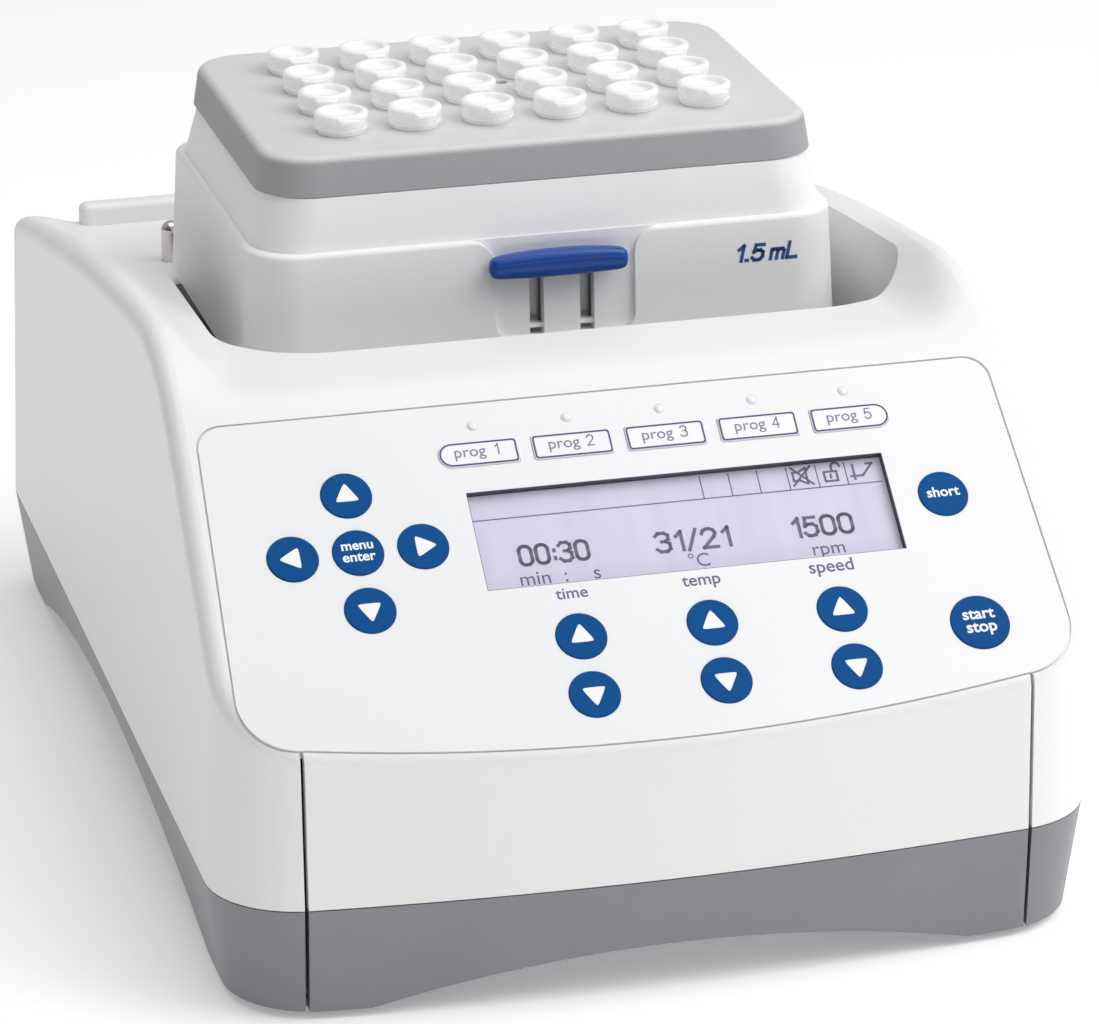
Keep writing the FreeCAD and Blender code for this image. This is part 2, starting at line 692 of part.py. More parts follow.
base_top = seam - size("seam_gap") / 2
base = base_hull(0.0, size("base_low"), base_top)
base = base.cut(base_hull(3.0, size("base_low"), size("floor_low")))
base = base.cut(base_hull(3.0, size("floor_low") + size("floor_thick"), base_top))
base = base.cut(arch(size("arch_side_top"), size("arch_side_half"), "x", size("arch_side_y")))
front_arch = arch(size("arch_front_top"), size("arch_front_half"), "y", 0)
base = base.cut(front_arch)
joint_cut = fascia_zone(size("joint_half") + size("joint_gap") / 2, 5.2, 0, base_top + 1)
skirt_zone = fascia_zone(size("joint_half") - size("joint_gap") / 2, 4.8, 0, base_top + 1)
skirt = base_hull(0.0, size("base_low"), base_top).common(skirt_zone).cut(front_arch)
base = base.cut(joint_cut)
for x in (-size("foot_x"), size("foot_x")):
    for y in (-size("foot_front"), size("foot_rear")):
        base = base.fuse(Part.makeCylinder(11.5, size("floor_low") - 3.2, Vector(x, y, 3.4)))
CHASSIS_POSTS = [(x, y) for x in (-78, 78) for y in (-100, 10, 118)]
for x, y in CHASSIS_POSTS:
    base = base.fuse(Part.makeCylinder(4.5, 2.2, Vector(x, y, size("chassis_low") - 2.2)))
for x, y in CHASSIS_POSTS:
    base = base.cut(Part.makeCylinder(1.9, 12, Vector(x, y, 16)))
feature("lower_housing", base.removeSplitter())
feature("front_skirt", skirt)

feet = []
for side in ("-", ""):
    for depth in ("-foot_front", "foot_rear"):
        cone = doc.addObject("Part::Cone", "foot")
        bound(cone, Radius1="foot_radius - 1", Radius2="foot_radius", Height="foot_tall - 1.1")
        feet.append(at(cone, f"{side}foot_x", depth, "0"))
keep(group("feet_group", feet), "rubber_feet")

screws = []
for k, (x, y) in enumerate(CHASSIS_POSTS):
    head = cylinder(f"screw_head{k}", "3.4", "2.2", f"{x}", f"{y}", "floor_low - 2.3")
    shank = cylinder(f"screw_shank{k}", "1.7", "6.2", f"{x}", f"{y}", "floor_low - 0.4")
    screws.append(fuse(f"screw{k}", [head, shank]))
keep(group("screws_group", screws), "housing_screws")

chassis = plate("chassis", "176", "270", "chassis_thick", "8", "0", "0", "chassis_low")
holes = [cylinder(f"chassis_hole{k}", "1.9", "12", f"{x}", f"{y}", "18")
         for k, (x, y) in enumerate(CHASSIS_POSTS)]
keep(cut("chassis_cut", chassis, holes), "chassis_plate")

# ---------------------------------------------------------------------------
# Drive: motor, bracket, cranks and their bearings, all cranks turned the same way
# ---------------------------------------------------------------------------

CRANKS = {"drive": "0", "left": "-idler_reach", "right": "idler_reach"}
CORNERS = ((-1, -1), (1, -1), (1, 1), (-1, 1))
AXIS_X = "(block_x - crank_throw + ({reach}))"
chassis_top = "chassis_low + chassis_thick"


def crank_x(name):
    return AXIS_X.format(reach=CRANKS[name])


motor = cylinder("motor_can", "motor_radius", "20", crank_x("drive"), "block_y", chassis_top)
motor_bore = cylinder("motor_bore", "shaft_radius + 1", "40", crank_x("drive"), "block_y", "20")
keep(cut("motor_cut", motor, [motor_bore]), "motor_stator")

bracket_parts = [centred_box("bracket_plate", "2 * idler_reach + 40", "60", "bracket_thick",
                             crank_x("drive"), "block_y", "bracket_low")]
for k, (sx, sy) in enumerate(CORNERS):
    bracket_parts.append(cylinder(f"bracket_leg{k}", "5", f"bracket_low - {chassis_top}",
                                  f"{crank_x('drive')} + {sx} * (idler_reach + 12)",
                                  f"block_y + {sy * 23}", chassis_top))
bracket_bores = []
for name in CRANKS:
    bracket_parts.append(cylinder(f"bracket_boss_{name}", "bearing_radius + 3", "bearing_tall",
                                  crank_x(name), "block_y", "bracket_low - 1"))
    bracket_bores.append(cylinder(f"bracket_bore_{name}", "bearing_radius", "20",
                                  crank_x(name), "block_y", "bracket_low - 5"))
keep(cut("bracket_cut", fuse("bracket_fuse", bracket_parts), bracket_bores), "motor_bracket")


def bearing(name, x, low):
    """A ball bearing as one ring: its bore runs on the shaft, its rim is pressed into the seat."""
    ring = cylinder(name + "_ring", "bearing_radius", "bearing_tall", x, "block_y", low)
    bore = cylinder(name + "_bore", "shaft_radius + running_fit", "bearing_tall + 4",
                    x, "block_y", f"({low}) - 2")
    return cut(name, ring, [bore])


frame_bearings = [bearing(f"frame_bearing_{name}", crank_x(name), "bracket_low - 1") for name in CRANKS]
keep(group("frame_bearing_group", frame_bearings), "frame_bearings")


def crank(name, label, shaft_low, disc_radius):
    """A vertical shaft with a disc and an eccentric pin on it."""
    shaft = cylinder(f"{name}_shaft", "shaft_radius", f"crank_low - ({shaft_low})",
                     crank_x(name), "block_y", shaft_low)
    disc = cylinder(f"{name}_disc", disc_radius, "crank_thick", crank_x(name), "block_y", "crank_low")
    pin = cylinder(f"{name}_pin", "shaft_radius", "pin_top - crank_low - crank_thick",
                   f"{crank_x(name)} + crank_throw", "block_y", "crank_low + crank_thick")
    pieces = [shaft, disc, pin]
    if name == "drive":
        weight = cylinder("drive_weight", "22", "crank_thick", f"{crank_x(name)}", "block_y", "crank_low")
        half = box("drive_weight_trim", "50", "50", "20", f"{crank_x(name)}", "block_y - 25",
                   "crank_low - 5")
        pieces.append(cut("drive_counterweight", weight, [half]))
    return keep(fuse(f"{name}_crank_fuse", pieces), label)


crank("drive", "drive_crank", "30", "9")
crank("left", "idler_crank_left", "48", "8")
crank("right", "idler_crank_right", "48", "8")


def table_x(name):
    return f"({crank_x(name)} + crank_throw)"


table_bearing_low = "table_low - 2.5"
table_parts = [centred_box("table_plate", "2 * idler_reach + 36", "84", "table_thick",
                           table_x("drive"), "block_y", "table_low")]
table_bores = []
for name in CRANKS:
    table_parts.append(cylinder(f"table_boss_{name}", "bearing_radius + 3", "bearing_tall",
                                table_x(name), "block_y", table_bearing_low))
    table_bores.append(cylinder(f"table_bore_{name}", "bearing_radius", "20", table_x(name), "block_y",
                                "table_low - 8"))
for k, (sx, sy) in enumerate(CORNERS):
    table_parts.append(cylinder(f"table_post{k}", "4", "sink_low - table_low - table_thick",
                                f"block_x + {sx * 52}", f"block_y + {sy * 34}", "table_low + table_thick"))
keep(cut("table_cut", fuse("table_fuse", table_parts), table_bores), "shaker_table")
table_bearings = [bearing(f"table_bearing_{name}", table_x(name), table_bearing_low) for name in CRANKS]
keep(group("table_bearing_group", table_bearings), "table_bearings")

# ---------------------------------------------------------------------------
# Thermal stack on the table: finned sink, Peltier modules, thermal plate
# ---------------------------------------------------------------------------

sink_pieces = [centred_box("sink_slab", "plate_width", "plate_depth", "sink_top - sink_base",
                           "block_x", "block_y", "sink_base")]
FINS = 17
for k in range(FINS):
    offset = (k - (FINS - 1) / 2) / (FINS - 1)
    sink_pieces.append(centred_box(f"fin{k}", "2", "plate_depth", "sink_base - sink_low",
                                   f"block_x + (plate_width - 2) * {offset:.5f}", "block_y", "sink_low"))
keep(fuse("sink_fuse", sink_pieces), "heat_sink")

modules = []
for k, (sx, sy) in enumerate(CORNERS):
    modules.append(centred_box(f"peltier{k}", "36", "36", "plate_low - sink_top",
                               f"block_x + {sx * 24}", f"block_y + {sy * 19.5}", "sink_top"))
keep(group("peltier_group", modules), "peltier_modules")
keep(plate("thermal_plate", "plate_width", "plate_depth", "plate_top - plate_low", "4",
           "block_x", "block_y", "plate_low"), "thermal_plate")

liner = well_prism(-0.3, well_low, well_low + 9.0)
liner = liner.cut(well_prism(-2.3, well_low + 2.4, well_low + 10.0))
opening_half_x = size("plate_width") / 2 + 3
opening_half_y = size("plate_depth") / 2 + 3
COLLAR_WALL = 2.0
COLLAR_TALL = 7.0
THROAT_CORNER = 3.0


def about_block(half_x, half_y, corner, z):
    """A flat rounded rectangle centred on the middle of the exchangeable block."""
    return Part.Face(rounded_rectangle(size("block_x") - half_x, size("block_x") + half_x,
                                       size("block_y") - half_y, size("block_y") + half_y, corner, z))


collar = about_block(opening_half_x + COLLAR_WALL, opening_half_y + COLLAR_WALL,
                     THROAT_CORNER + COLLAR_WALL, well_low)
throat = about_block(opening_half_x, opening_half_y, THROAT_CORNER, well_low - 2)
liner = liner.fuse(collar.extrude(Vector(0, 0, COLLAR_TALL))).cut(throat.extrude(Vector(0, 0, 20)))
feature("well_liner", liner.removeSplitter())

post = cylinder("post_shaft", "post_radius", "post_top - post_radius - post_low",
                "post_x", "post_y", "post_low")
tip = doc.addObject("Part::Sphere", "post_tip")
bound(tip, Radius="post_radius")
at(tip, "post_x", "post_y", "post_top - post_radius")
keep(fuse("post_fuse", [post, tip]), "lid_contact_post")

# ---------------------------------------------------------------------------
# Exchangeable block: aluminium block, white housing, grey cover, release latch
# ---------------------------------------------------------------------------

TUBE_COLUMNS = 6
TUBE_ROWS = 4


def tube_places():
    """The centre of each tube in plan, row by row."""
    places = []
    for row in range(TUBE_ROWS):
        for column in range(TUBE_COLUMNS):
            places.append((size("block_x") + (column - (TUBE_COLUMNS - 1) / 2) * size("tube_pitch_x"),
                           size("block_y") + (row - (TUBE_ROWS - 1) / 2) * size("tube_pitch_y")))
    return places


def tube_form(grow, top):
    """The outside of a tube below its collar: straight, then a long taper to a round tip."""
    radius = size("tube_radius") + grow
    tip = 1.8 + grow
    straight = 17.0
    low = size("cover_top") - size("tube_length") - grow
    cone_top = size("cover_top") - straight
    ball = low + tip
    profile = Part.Wire([
        Part.makeLine(Vector(0, 0, top), Vector(radius, 0, top)),
        Part.makeLine(Vector(radius, 0, top), Vector(radius, 0, cone_top)),
        Part.makeLine(Vector(radius, 0, cone_top), Vector(tip, 0, ball)),
        Part.Arc(Vector(tip, 0, ball), Vector(tip * math.sqrt(0.5), 0, ball - tip * math.sqrt(0.5)),
                 Vector(0, 0, low)).toShape(),
        Part.makeLine(Vector(0, 0, low), Vector(0, 0, top)),
    ])
    return Part.Face(profile).revolve(Vector(0, 0, 0), Vector(0, 0, 1), 360)


def at_every_tube(shape):
    copies = []
    for x, y in tube_places():
        copy = shape.copy()
        copy.translate(Vector(x, y, 0))
        copies.append(copy)
    return Part.makeCompound(copies)


BLOCK_HALF_X = 54.0
BLOCK_HALF_Y = 36.0
block_top = size("cover_low") - 0.4
metal = about_block(BLOCK_HALF_X, BLOCK_HALF_Y, 6, size("plate_top"))
metal = metal.extrude(Vector(0, 0, block_top - size("plate_top")))
FLANGE_HALF_X = 63.0
FLANGE_HALF_Y = 42.0
FLANGE_TALL = 4.0
flange = about_block(FLANGE_HALF_X, FLANGE_HALF_Y, 8, size("plate_top"))
metal = metal.fuse(flange.extrude(Vector(0, 0, FLANGE_TALL))).removeSplitter()
feature("heat_block", metal.cut(at_every_tube(tube_form(0.3, size("cover_top")))))

cover_left = -61.8
cover_right = 73.0
cover_front = -14.0
cover_rear = 84.0
cover_grow = 1.5
cover_corner = 12.0
cover = Part.makeLoft([
    rounded_rectangle(cover_left - cover_grow, cover_right + cover_grow, cover_front - cover_grow,
                      cover_rear + cover_grow, cover_corner + cover_grow, size("cover_low")),
    rounded_rectangle(cover_left, cover_right, cover_front, cover_rear, cover_corner, size("cover_top")),
], True, True)
cover_edges = [edge for edge in cover.Edges if abs(edge.CenterOfMass.z - size("cover_top")) < 1e-6]
cover = cover.makeFillet(2.2, cover_edges)
cover = cover.cut(at_every_tube(Part.makeCylinder(size("tube_radius") + 0.3, 20,
                                                  Vector(0, 0, size("cover_low") - 5))))
cover = cover.cut(Part.makeCylinder(1.6, 2.4, Vector(7.7, 38, size("cover_top") - 1.2)))
feature("block_cover", cover)


def block_hull(front_high, front_low, side_high, side_low, high, low, rear_high, rear_low):
    """Part of the block's housing: a loft between two rounded rectangles about the block's middle."""
    middle = size("block_x") - 0.2
    return Part.makeLoft([
        rounded_rectangle(middle - side_low, middle + side_low, front_low, rear_low, 13.0, low),
        rounded_rectangle(middle - side_high, middle + side_high, front_high, rear_high, 12.5, high),
    ], True, True)


cheek_top = size("cheek_top")
housing_low = size("housing_low")
shoulder = block_hull(-15.4, -17.2, 67.6, 71.4, size("cover_low") - 0.2, cheek_top - 2, 85.0, 88.2)
trunk = block_hull(-17.2, -18.6, 71.4, 72.6, cheek_top - 2, housing_low, 88.2, 93.0)
proud = size("cheek_proud")
cheeks = block_hull(-17.1 - proud, -18.6 - proud, 71.4 + proud, 72.7 + proud, cheek_top, housing_low,
                    88.2 + proud, 93.0 + proud)
lip_edges = [edge for edge in cheeks.Edges if abs(edge.CenterOfMass.z - cheek_top) < 1e-6]
cheeks = cheeks.makeFillet(1.2, lip_edges)
notch = Part.makeBox(size("notch_right") - size("notch_left"), 6.0, 60.0,
                     Vector(size("notch_left"), -23.3, size("notch_low")))
notch_edges = [edge for edge in notch.Edges if abs(edge.CenterOfMass.z - size("notch_low")) < 1e-6
               and abs(edge.tangentAt(edge.FirstParameter).y) > 0.9]
notch = notch.makeFillet(4.5, notch_edges)
cheeks = cheeks.cut(notch)
# the lip of each cheek turns down into the notch in a wide curve
flare = 6.4
CROSS_RIB_LOW = 114.2
CROSS_RIB_TALL = 1.1
CROSS_RIB_BACK = -16.9
for side, x in ((-1, size("notch_left")), (1, size("notch_right"))):
    corner = Part.makeBox(flare, 6.0, flare + 1, Vector(min(x, x + side * flare), -23.3, cheek_top - flare))
    turn = Part.makeCylinder(flare, 8.0, Vector(x + side * flare, -24.3, cheek_top - flare), Vector(0, 1, 0))
    cheeks = cheeks.cut(corner.cut(turn))
hollow = block_hull(-13.4, -15.0, 65.4, 68.4, size("cover_low") + 1, housing_low - 1, 82.6, 85.0)
# a ledge inside the housing rests on the heat block's flange; it leaves room for the latch
ledge_low = size("plate_top") + FLANGE_TALL + 0.1
ledge = Part.Face(rounded_rectangle(-65.0, 76.0, -16.0, 86.5, 10, ledge_low)).extrude(Vector(0, 0, 2.5))
inside = about_block(FLANGE_HALF_X - 4, FLANGE_HALF_Y - 3, 6, ledge_low - 1)
ledge = ledge.cut(inside.extrude(Vector(0, 0, 5)))
ledge = ledge.cut(Part.makeBox(40, 22, 6, Vector(-11.5, -16.5, ledge_low - 1)))
casing = shoulder.fuse(trunk).fuse(cheeks).cut(hollow).fuse(ledge).removeSplitter()
for x in (size("slot_left"), size("slot_right")):
    slot = Part.makeBox(2 * size("slot_half"), 12, size("grip_high") - size("notch_low"),
                        Vector(x - size("slot_half"), -26, size("notch_low")))
    casing = casing.cut(slot)
    cross_rib = Part.makeBox(2 * size("slot_half"), 1.5, CROSS_RIB_TALL,
                             Vector(x - size("slot_half"), CROSS_RIB_BACK, CROSS_RIB_LOW))
    casing = casing.fuse(cross_rib)
feature("block_housing", casing.removeSplitter())

grip_low = size("grip_low")
grip_high = size("grip_high")
grip_mid = (grip_low + grip_high) / 2
grip_back = -18.5
grip_front = -24.4
section = Part.Wire([
    Part.Arc(Vector(0, grip_back, grip_high - 0.6), Vector(0, -21.8, grip_high - 0.4),
             Vector(0, grip_front, grip_high - 2.4)).toShape(),
    Part.Arc(Vector(0, grip_front, grip_high - 2.4), Vector(0, grip_front + 1.0, grip_mid - 2.0),
             Vector(0, -20.8, grip_low)).toShape(),
    Part.Arc(Vector(0, -20.8, grip_low), Vector(0, -19.1, grip_low + 0.6),
             Vector(0, grip_back, grip_low + 1.6)).toShape(),
    Part.makeLine(Vector(0, grip_back, grip_low + 1.6), Vector(0, grip_back, grip_high - 0.6)),
])
bar = Part.Face(section).extrude(Vector(size("grip_right") - size("grip_left"), 0, 0))
bar.translate(Vector(size("grip_left"), 0, 0))
end_edges = [edge for edge in bar.Edges if min(abs(edge.CenterOfMass.x - size("grip_left")),
                                               abs(edge.CenterOfMass.x - size("grip_right"))) < 1e-6]
bar = bar.makeFillet(1.2, end_edges)
# the left end rides in front of the housing's cheek
bar = bar.cut(Part.makeBox(size("notch_left") + 0.5 - size("grip_left") + 1, 5.0, grip_high - grip_low + 2,
                           Vector(size("grip_left") - 1, size("cheek_front") - 0.6, grip_low - 1)))
for x in (size("slot_left"), size("slot_right")):
    neck = Part.makeBox(2 * size("slot_half") - 0.6, 5.0, 4.4,
                        Vector(x - size("slot_half") + 0.3, -19.0, grip_mid - 2.2))
    bar = bar.fuse(neck)
feature("release_grip", bar.removeSplitter())

YOKE_X = 8.4
YOKE_WIDE = 26.0
YOKE_FRONT = -12.9
yoke_corner = Vector(YOKE_X - YOKE_WIDE / 2, YOKE_FRONT, grip_mid - 18.0)
yoke = Part.makeBox(YOKE_WIDE, 1.6, 24, yoke_corner)
yoke = yoke.fuse(Part.makeBox(YOKE_WIDE, 3.0, 3.0, yoke_corner))
for x in (size("slot_left"), size("slot_right")):
    yoke = yoke.fuse(Part.makeBox(2.4, 2.2, 4.0, Vector(x - 1.2, -14.0, grip_mid - 2.0)))
feature("release_yoke", yoke.cut(Part.makeBox(8, 6, 12, Vector(YOKE_X - 4, -14, grip_mid - 12))))

# ---------------------------------------------------------------------------
# Tubes with their lids
# ---------------------------------------------------------------------------

cover_top = size("cover_top")
tube_outer = tube_form(0.0, cover_top + 0.2).fuse(
    Part.makeCone(size("collar_foot"), size("collar_radius"), 1.3, Vector(0, 0, cover_top + 0.15)))
tube_inner = tube_form(-size("tube_wall"), cover_top + 5)
tube = tube_outer.cut(tube_inner).removeSplitter()
feature("tube_vessels", at_every_tube(tube))

LID_LOW = cover_top + 1.5
LID_TALL = 3.8
lid = Part.makeCylinder(size("lid_radius"), LID_TALL, Vector(0, 0, LID_LOW))
lid_top_edge = [edge for edge in lid.Edges if abs(edge.CenterOfMass.z - LID_LOW - LID_TALL) < 1e-6
                and edge.Closed and edge.Length > 1]
lid = lid.makeFillet(0.6, lid_top_edge)
lid = lid.cut(Part.makeCylinder(size("lid_radius") - 1.5, 2, Vector(0, 0, LID_LOW + LID_TALL - 0.9)))
plug = Part.makeCylinder(size("tube_radius") - size("tube_wall") - 0.05, 3.4, Vector(0, 0, LID_LOW - 3.2))
tab = Part.makeBox(5.0, 3.4, 1.2, Vector(-2.5, -size("lid_radius") - 2.2, LID_LOW + 0.5))
hinge = Part.makeBox(3.6, 3.0, 0.8, Vector(-1.8, size("lid_radius") - 0.8, LID_LOW + 0.2))
lid = lid.fuse(plug).fuse(tab).fuse(hinge).removeSplitter()
feature("tube_lids", at_every_tube(lid))

# ---------------------------------------------------------------------------
# Electronics, fan and rear fittings
# ---------------------------------------------------------------------------

keep(centred_box("main_board_slab", "84", "66", "1.6", "-44", "-95", "chassis_low + chassis_thick + 5"),
     "main_board")
keep(centred_box("supply_can", "78", "62", "30", "46", "-92", chassis_top), "power_supply")

FAN_Z = 62.0
FAN_FRONT = 127.0
fan_case = box("fan_case", "60", "18", "60", f"{VENT_X - 30}", f"{FAN_FRONT}", f"{FAN_Z - 30}")
along_y = Rotation(Vector(1, 0, 0), -90)
fan_bore = cylinder("fan_bore", "28.5", "30", f"{VENT_X}", f"{FAN_FRONT - 5}", f"{FAN_Z}", along_y)
keep(cut("fan_cut", fan_case, [fan_bore]), "fan_housing")

blades = [Part.makeCylinder(10, 13, Vector(0, -6.5, 0), Vector(0, 1, 0))]
BLADES = 7
for k in range(BLADES):
    blade = Part.makeBox(1.4, 15, 18.6, Vector(-0.7, -7.5, 9.0))
    blade.rotate(Vector(0, 0, 15), Vector(0, 0, 1), 38)
    blade.rotate(Vector(0, 0, 0), Vector(0, 1, 0), 360 / BLADES * k)
    blades.append(blade)
rotor = blades[0].fuse(blades[1:])
rotor = rotor.common(Part.makeCylinder(27.6, 14, Vector(0, -7, 0), Vector(0, 1, 0)))
fan_place = Placement(Vector(VENT_X, FAN_FRONT + 9, FAN_Z), Rotation())
feature("fan_rotor", rotor.removeSplitter(), fan_place)

inlet = Part.makeBox(27.4, 22, 31.4, Vector(INLET_X - 13.7, REAR_FACE - 22, INLET_Z - 9.7))
inlet = inlet.fuse(Part.makeBox(32, 0.8, 36, Vector(INLET_X - 16, REAR_FACE, INLET_Z - 12)))
socket_low = INLET_Z + 1.0
socket = Part.makeBox(22.4, 14, 16.0, Vector(INLET_X - 11.2, REAR_FACE - 13, socket_low))
socket_edges = [edge for edge in socket.Edges if abs(edge.CenterOfMass.z - socket_low - 16.0) < 1e-6
                and abs(edge.tangentAt(edge.FirstParameter).y) > 0.9]
socket = socket.makeChamfer(4.5, socket_edges)
inlet = inlet.cut(socket)
for dx, dz in ((-6.5, 6.5), (6.5, 6.5), (0, 10.5)):
    inlet = inlet.fuse(Part.makeBox(2.0, 9.0, 4.0, Vector(INLET_X + dx - 1.0, REAR_FACE - 13.2,
                                                         socket_low + dz - 2.0)))
drawer_zone = Part.makeBox(18.6, 12, 6.6, Vector(INLET_X - 9.3, REAR_FACE - 11, INLET_Z - 8.2))
inlet = inlet.cut(drawer_zone)
feature("power_inlet", inlet.removeSplitter())
drawer = Part.makeBox(18.2, 10, 6.2, Vector(INLET_X - 9.1, REAR_FACE - 9.4, INLET_Z - 8.0))
feature("fuse_drawer", drawer)

frame_outer = Part.makeBox(18, 0.8, 26, Vector(SWITCH_X - 9, REAR_FACE, INLET_Z - 7))
frame_body = Part.makeBox(13.6, 16, 21.6, Vector(SWITCH_X - 6.8, REAR_FACE - 16, INLET_Z - 4.8))
frame_hole = Part.makeBox(10.6, 13, 18.6, Vector(SWITCH_X - 5.3, REAR_FACE - 11, INLET_Z - 3.3))
feature("switch_frame", frame_outer.fuse(frame_body).cut(frame_hole).removeSplitter())
ROCKER_Z = INLET_Z + 6.0
ROCKER_TILT = 6.0
rocker_profile = Part.Wire(Part.makePolygon([
    Vector(0, -6.0, -4.0), Vector(0, -1.5, -8.6), Vector(0, 0.2, -8.6), Vector(0, -0.6, 0),
    Vector(0, 0.2, 8.6), Vector(0, -1.5, 8.6), Vector(0, -6.0, 4.0), Vector(0, -6.0, -4.0)]))
ROCKER_WIDE = 9.8
HINGE_Y = -3.0
HINGE_RADIUS = 1.5
HINGE_LONG = 10.4
rocker = Part.Face(rocker_profile).extrude(Vector(ROCKER_WIDE, 0, 0))
rocker.translate(Vector(-ROCKER_WIDE / 2, 0, 0))
# a round pin on each side carries the rocker in its frame
hinge_pin = Part.makeCylinder(HINGE_RADIUS, HINGE_LONG, Vector(-HINGE_LONG / 2, HINGE_Y, 0), Vector(1, 0, 0))
rocker = rocker.fuse(hinge_pin)
rocker.rotate(Vector(0, HINGE_Y, 0), Vector(1, 0, 0), ROCKER_TILT)
rocker_place = Placement(Vector(SWITCH_X, REAR_FACE - 0.6, ROCKER_Z), Rotation())
feature("power_switch", rocker, rocker_place)

port = Part.makeBox(12.6, 14, 11.6, Vector(PORT_X - 6.3, REAR_FACE - 13.4, INLET_Z + 0.2))
port = port.cut(Part.makeBox(9.4, 10, 8.4, Vector(PORT_X - 4.7, REAR_FACE - 9, INLET_Z + 1.8)))
port = port.fuse(Part.makeBox(5.6, 8, 3.2, Vector(PORT_X - 2.8, REAR_FACE - 9.2, INLET_Z + 4.4)))
feature("service_port", port.removeSplitter())

# ---------------------------------------------------------------------------
# Check the document and write one file for each sub-part
# ---------------------------------------------------------------------------

doc.recompute()
for obj in doc.Objects:
    if "Invalid" in obj.State or "Error" in obj.State:
        raise RuntimeError(f"{obj.Name} ({obj.Label}) failed: {obj.State}")
os.makedirs("parts", exist_ok=True)
for obj in SUBPARTS:
    shape = obj.Shape
    if shape.isNull() or not shape.isValid() or not shape.Solids:
        raise RuntimeError(f"{obj.Label} has no valid solid")
    shape.exportStep(f"parts/{obj.Label}.step")
    extent = shape.optimalBoundingBox()
    box_text = ", ".join(f"{value:.1f}" for value in (
        extent.XMin, extent.XMax, extent.YMin, extent.YMax, extent.ZMin, extent.ZMax))
    print(f"{obj.Label}: {len(shape.Solids)} solid(s), {shape.Volume / 1000:.2f} cm3, box {box_text}")
print(f"{len(SUBPARTS)} sub-parts")
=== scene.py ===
# %% [markdown]
# # A dry block heater that also shakes
# The casing, the keys, the exchangeable block and everything inside arrive from the CAD model as
# a fixed frame. This lesson gives each of them its finish, and adds the fine things that CAD leaves
# out: printed legends, the picture on the display, the moulded lids of the tubes.
# Lengths are written in millimetres and turned into metres once, when a mesh is made.

import json
import math

import bmesh
import bpy
import numpy as np
from mathutils import Matrix, Vector


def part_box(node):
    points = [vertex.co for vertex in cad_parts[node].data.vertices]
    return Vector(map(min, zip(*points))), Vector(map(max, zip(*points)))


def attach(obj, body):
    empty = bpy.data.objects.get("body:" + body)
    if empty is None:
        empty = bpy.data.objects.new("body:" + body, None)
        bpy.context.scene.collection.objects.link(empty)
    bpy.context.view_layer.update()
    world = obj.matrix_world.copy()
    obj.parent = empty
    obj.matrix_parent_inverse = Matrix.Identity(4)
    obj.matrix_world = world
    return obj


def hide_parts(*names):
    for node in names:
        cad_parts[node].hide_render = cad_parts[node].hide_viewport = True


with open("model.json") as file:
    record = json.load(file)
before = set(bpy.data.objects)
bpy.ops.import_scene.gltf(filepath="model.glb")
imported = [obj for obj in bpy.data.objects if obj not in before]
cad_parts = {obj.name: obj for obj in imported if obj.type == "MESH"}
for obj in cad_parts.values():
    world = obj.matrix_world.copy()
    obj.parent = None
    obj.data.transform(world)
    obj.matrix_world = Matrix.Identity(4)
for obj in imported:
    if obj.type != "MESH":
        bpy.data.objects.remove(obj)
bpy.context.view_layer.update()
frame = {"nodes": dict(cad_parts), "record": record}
nodes = frame["nodes"]
MM = 0.001

# %% [markdown]
# ## Camera
# A long lens from the front left keeps the verticals almost parallel. The camera's three axes are
# worked out from its azimuth, elevation and a small roll, so nothing has to be aimed by hand.

# %% Place the camera
AZIMUTH = math.radians(-14.174)
ELEVATION = math.radians(20.153)
ROLL = math.radians(-0.671)
EYE = Vector((-294.1, -1200.8, 514.6))
back = Vector((math.sin(AZIMUTH) * math.cos(ELEVATION), -math.cos(AZIMUTH) * math.cos(ELEVATION),
               math.sin(ELEVATION)))
across = Vector((0, 0, 1)).cross(back).normalized()
upward = back.cross(across)
camera_x = across * math.cos(ROLL) + upward * math.sin(ROLL)
camera_y = upward * math.cos(ROLL) - across * math.sin(ROLL)
camera_data = bpy.data.cameras.new("camera")
camera_data.lens = 174.46
camera_data.sensor_width = 36.0
camera_data.sensor_fit = "HORIZONTAL"
camera_data.clip_end = 20.0
camera = bpy.data.objects.new("camera", camera_data)
bpy.context.scene.collection.objects.link(camera)
turn = Matrix((camera_x, camera_y, back)).transposed().to_4x4()
camera.matrix_world = Matrix.Translation(EYE * MM) @ turn
bpy.context.scene.camera = camera
print("camera at", [round(c, 3) for c in camera.location])

# %% [markdown]
# ## A small language for shader maths
# Building node trees by hand hides the idea behind them. This class wraps one output of a node, so
# `0.4 + 0.2 * speckle` adds two Math nodes and reads like the sentence it stands for. Every other
# node comes from its one method `node`.


# %% The Signal class
class Signal:
    """One output of a shader node."""

    def __init__(self, socket):
        self.socket = socket
        self.tree = socket.id_data

    def node(self, kind, settings=None, inputs=None, output=0):
        """Add a node: settings first, then the values or links of its inputs; gives one output."""
        made = self.tree.nodes.new(kind)
        for key, value in (settings or {}).items():
            setattr(made, key, value)
        for key, value in (inputs or {}).items():
            if isinstance(value, Signal):
                self.tree.links.new(value.socket, made.inputs[key])
            else:
                made.inputs[key].default_value = value
        return Signal(made.outputs[output])

    def math(self, operation, first, second=0.0):
        return self.node("ShaderNodeMath", {"operation": operation}, {0: first, 1: second})

    def __add__(self, other):
        return self.math("ADD", self, other)

    __radd__ = __add__

    def __mul__(self, other):
        return self.math("MULTIPLY", self, other)

    __rmul__ = __mul__

    def __sub__(self, other):
        return self.math("SUBTRACT", self, other)

    def __rsub__(self, other):
        return self.math("SUBTRACT", other, self)


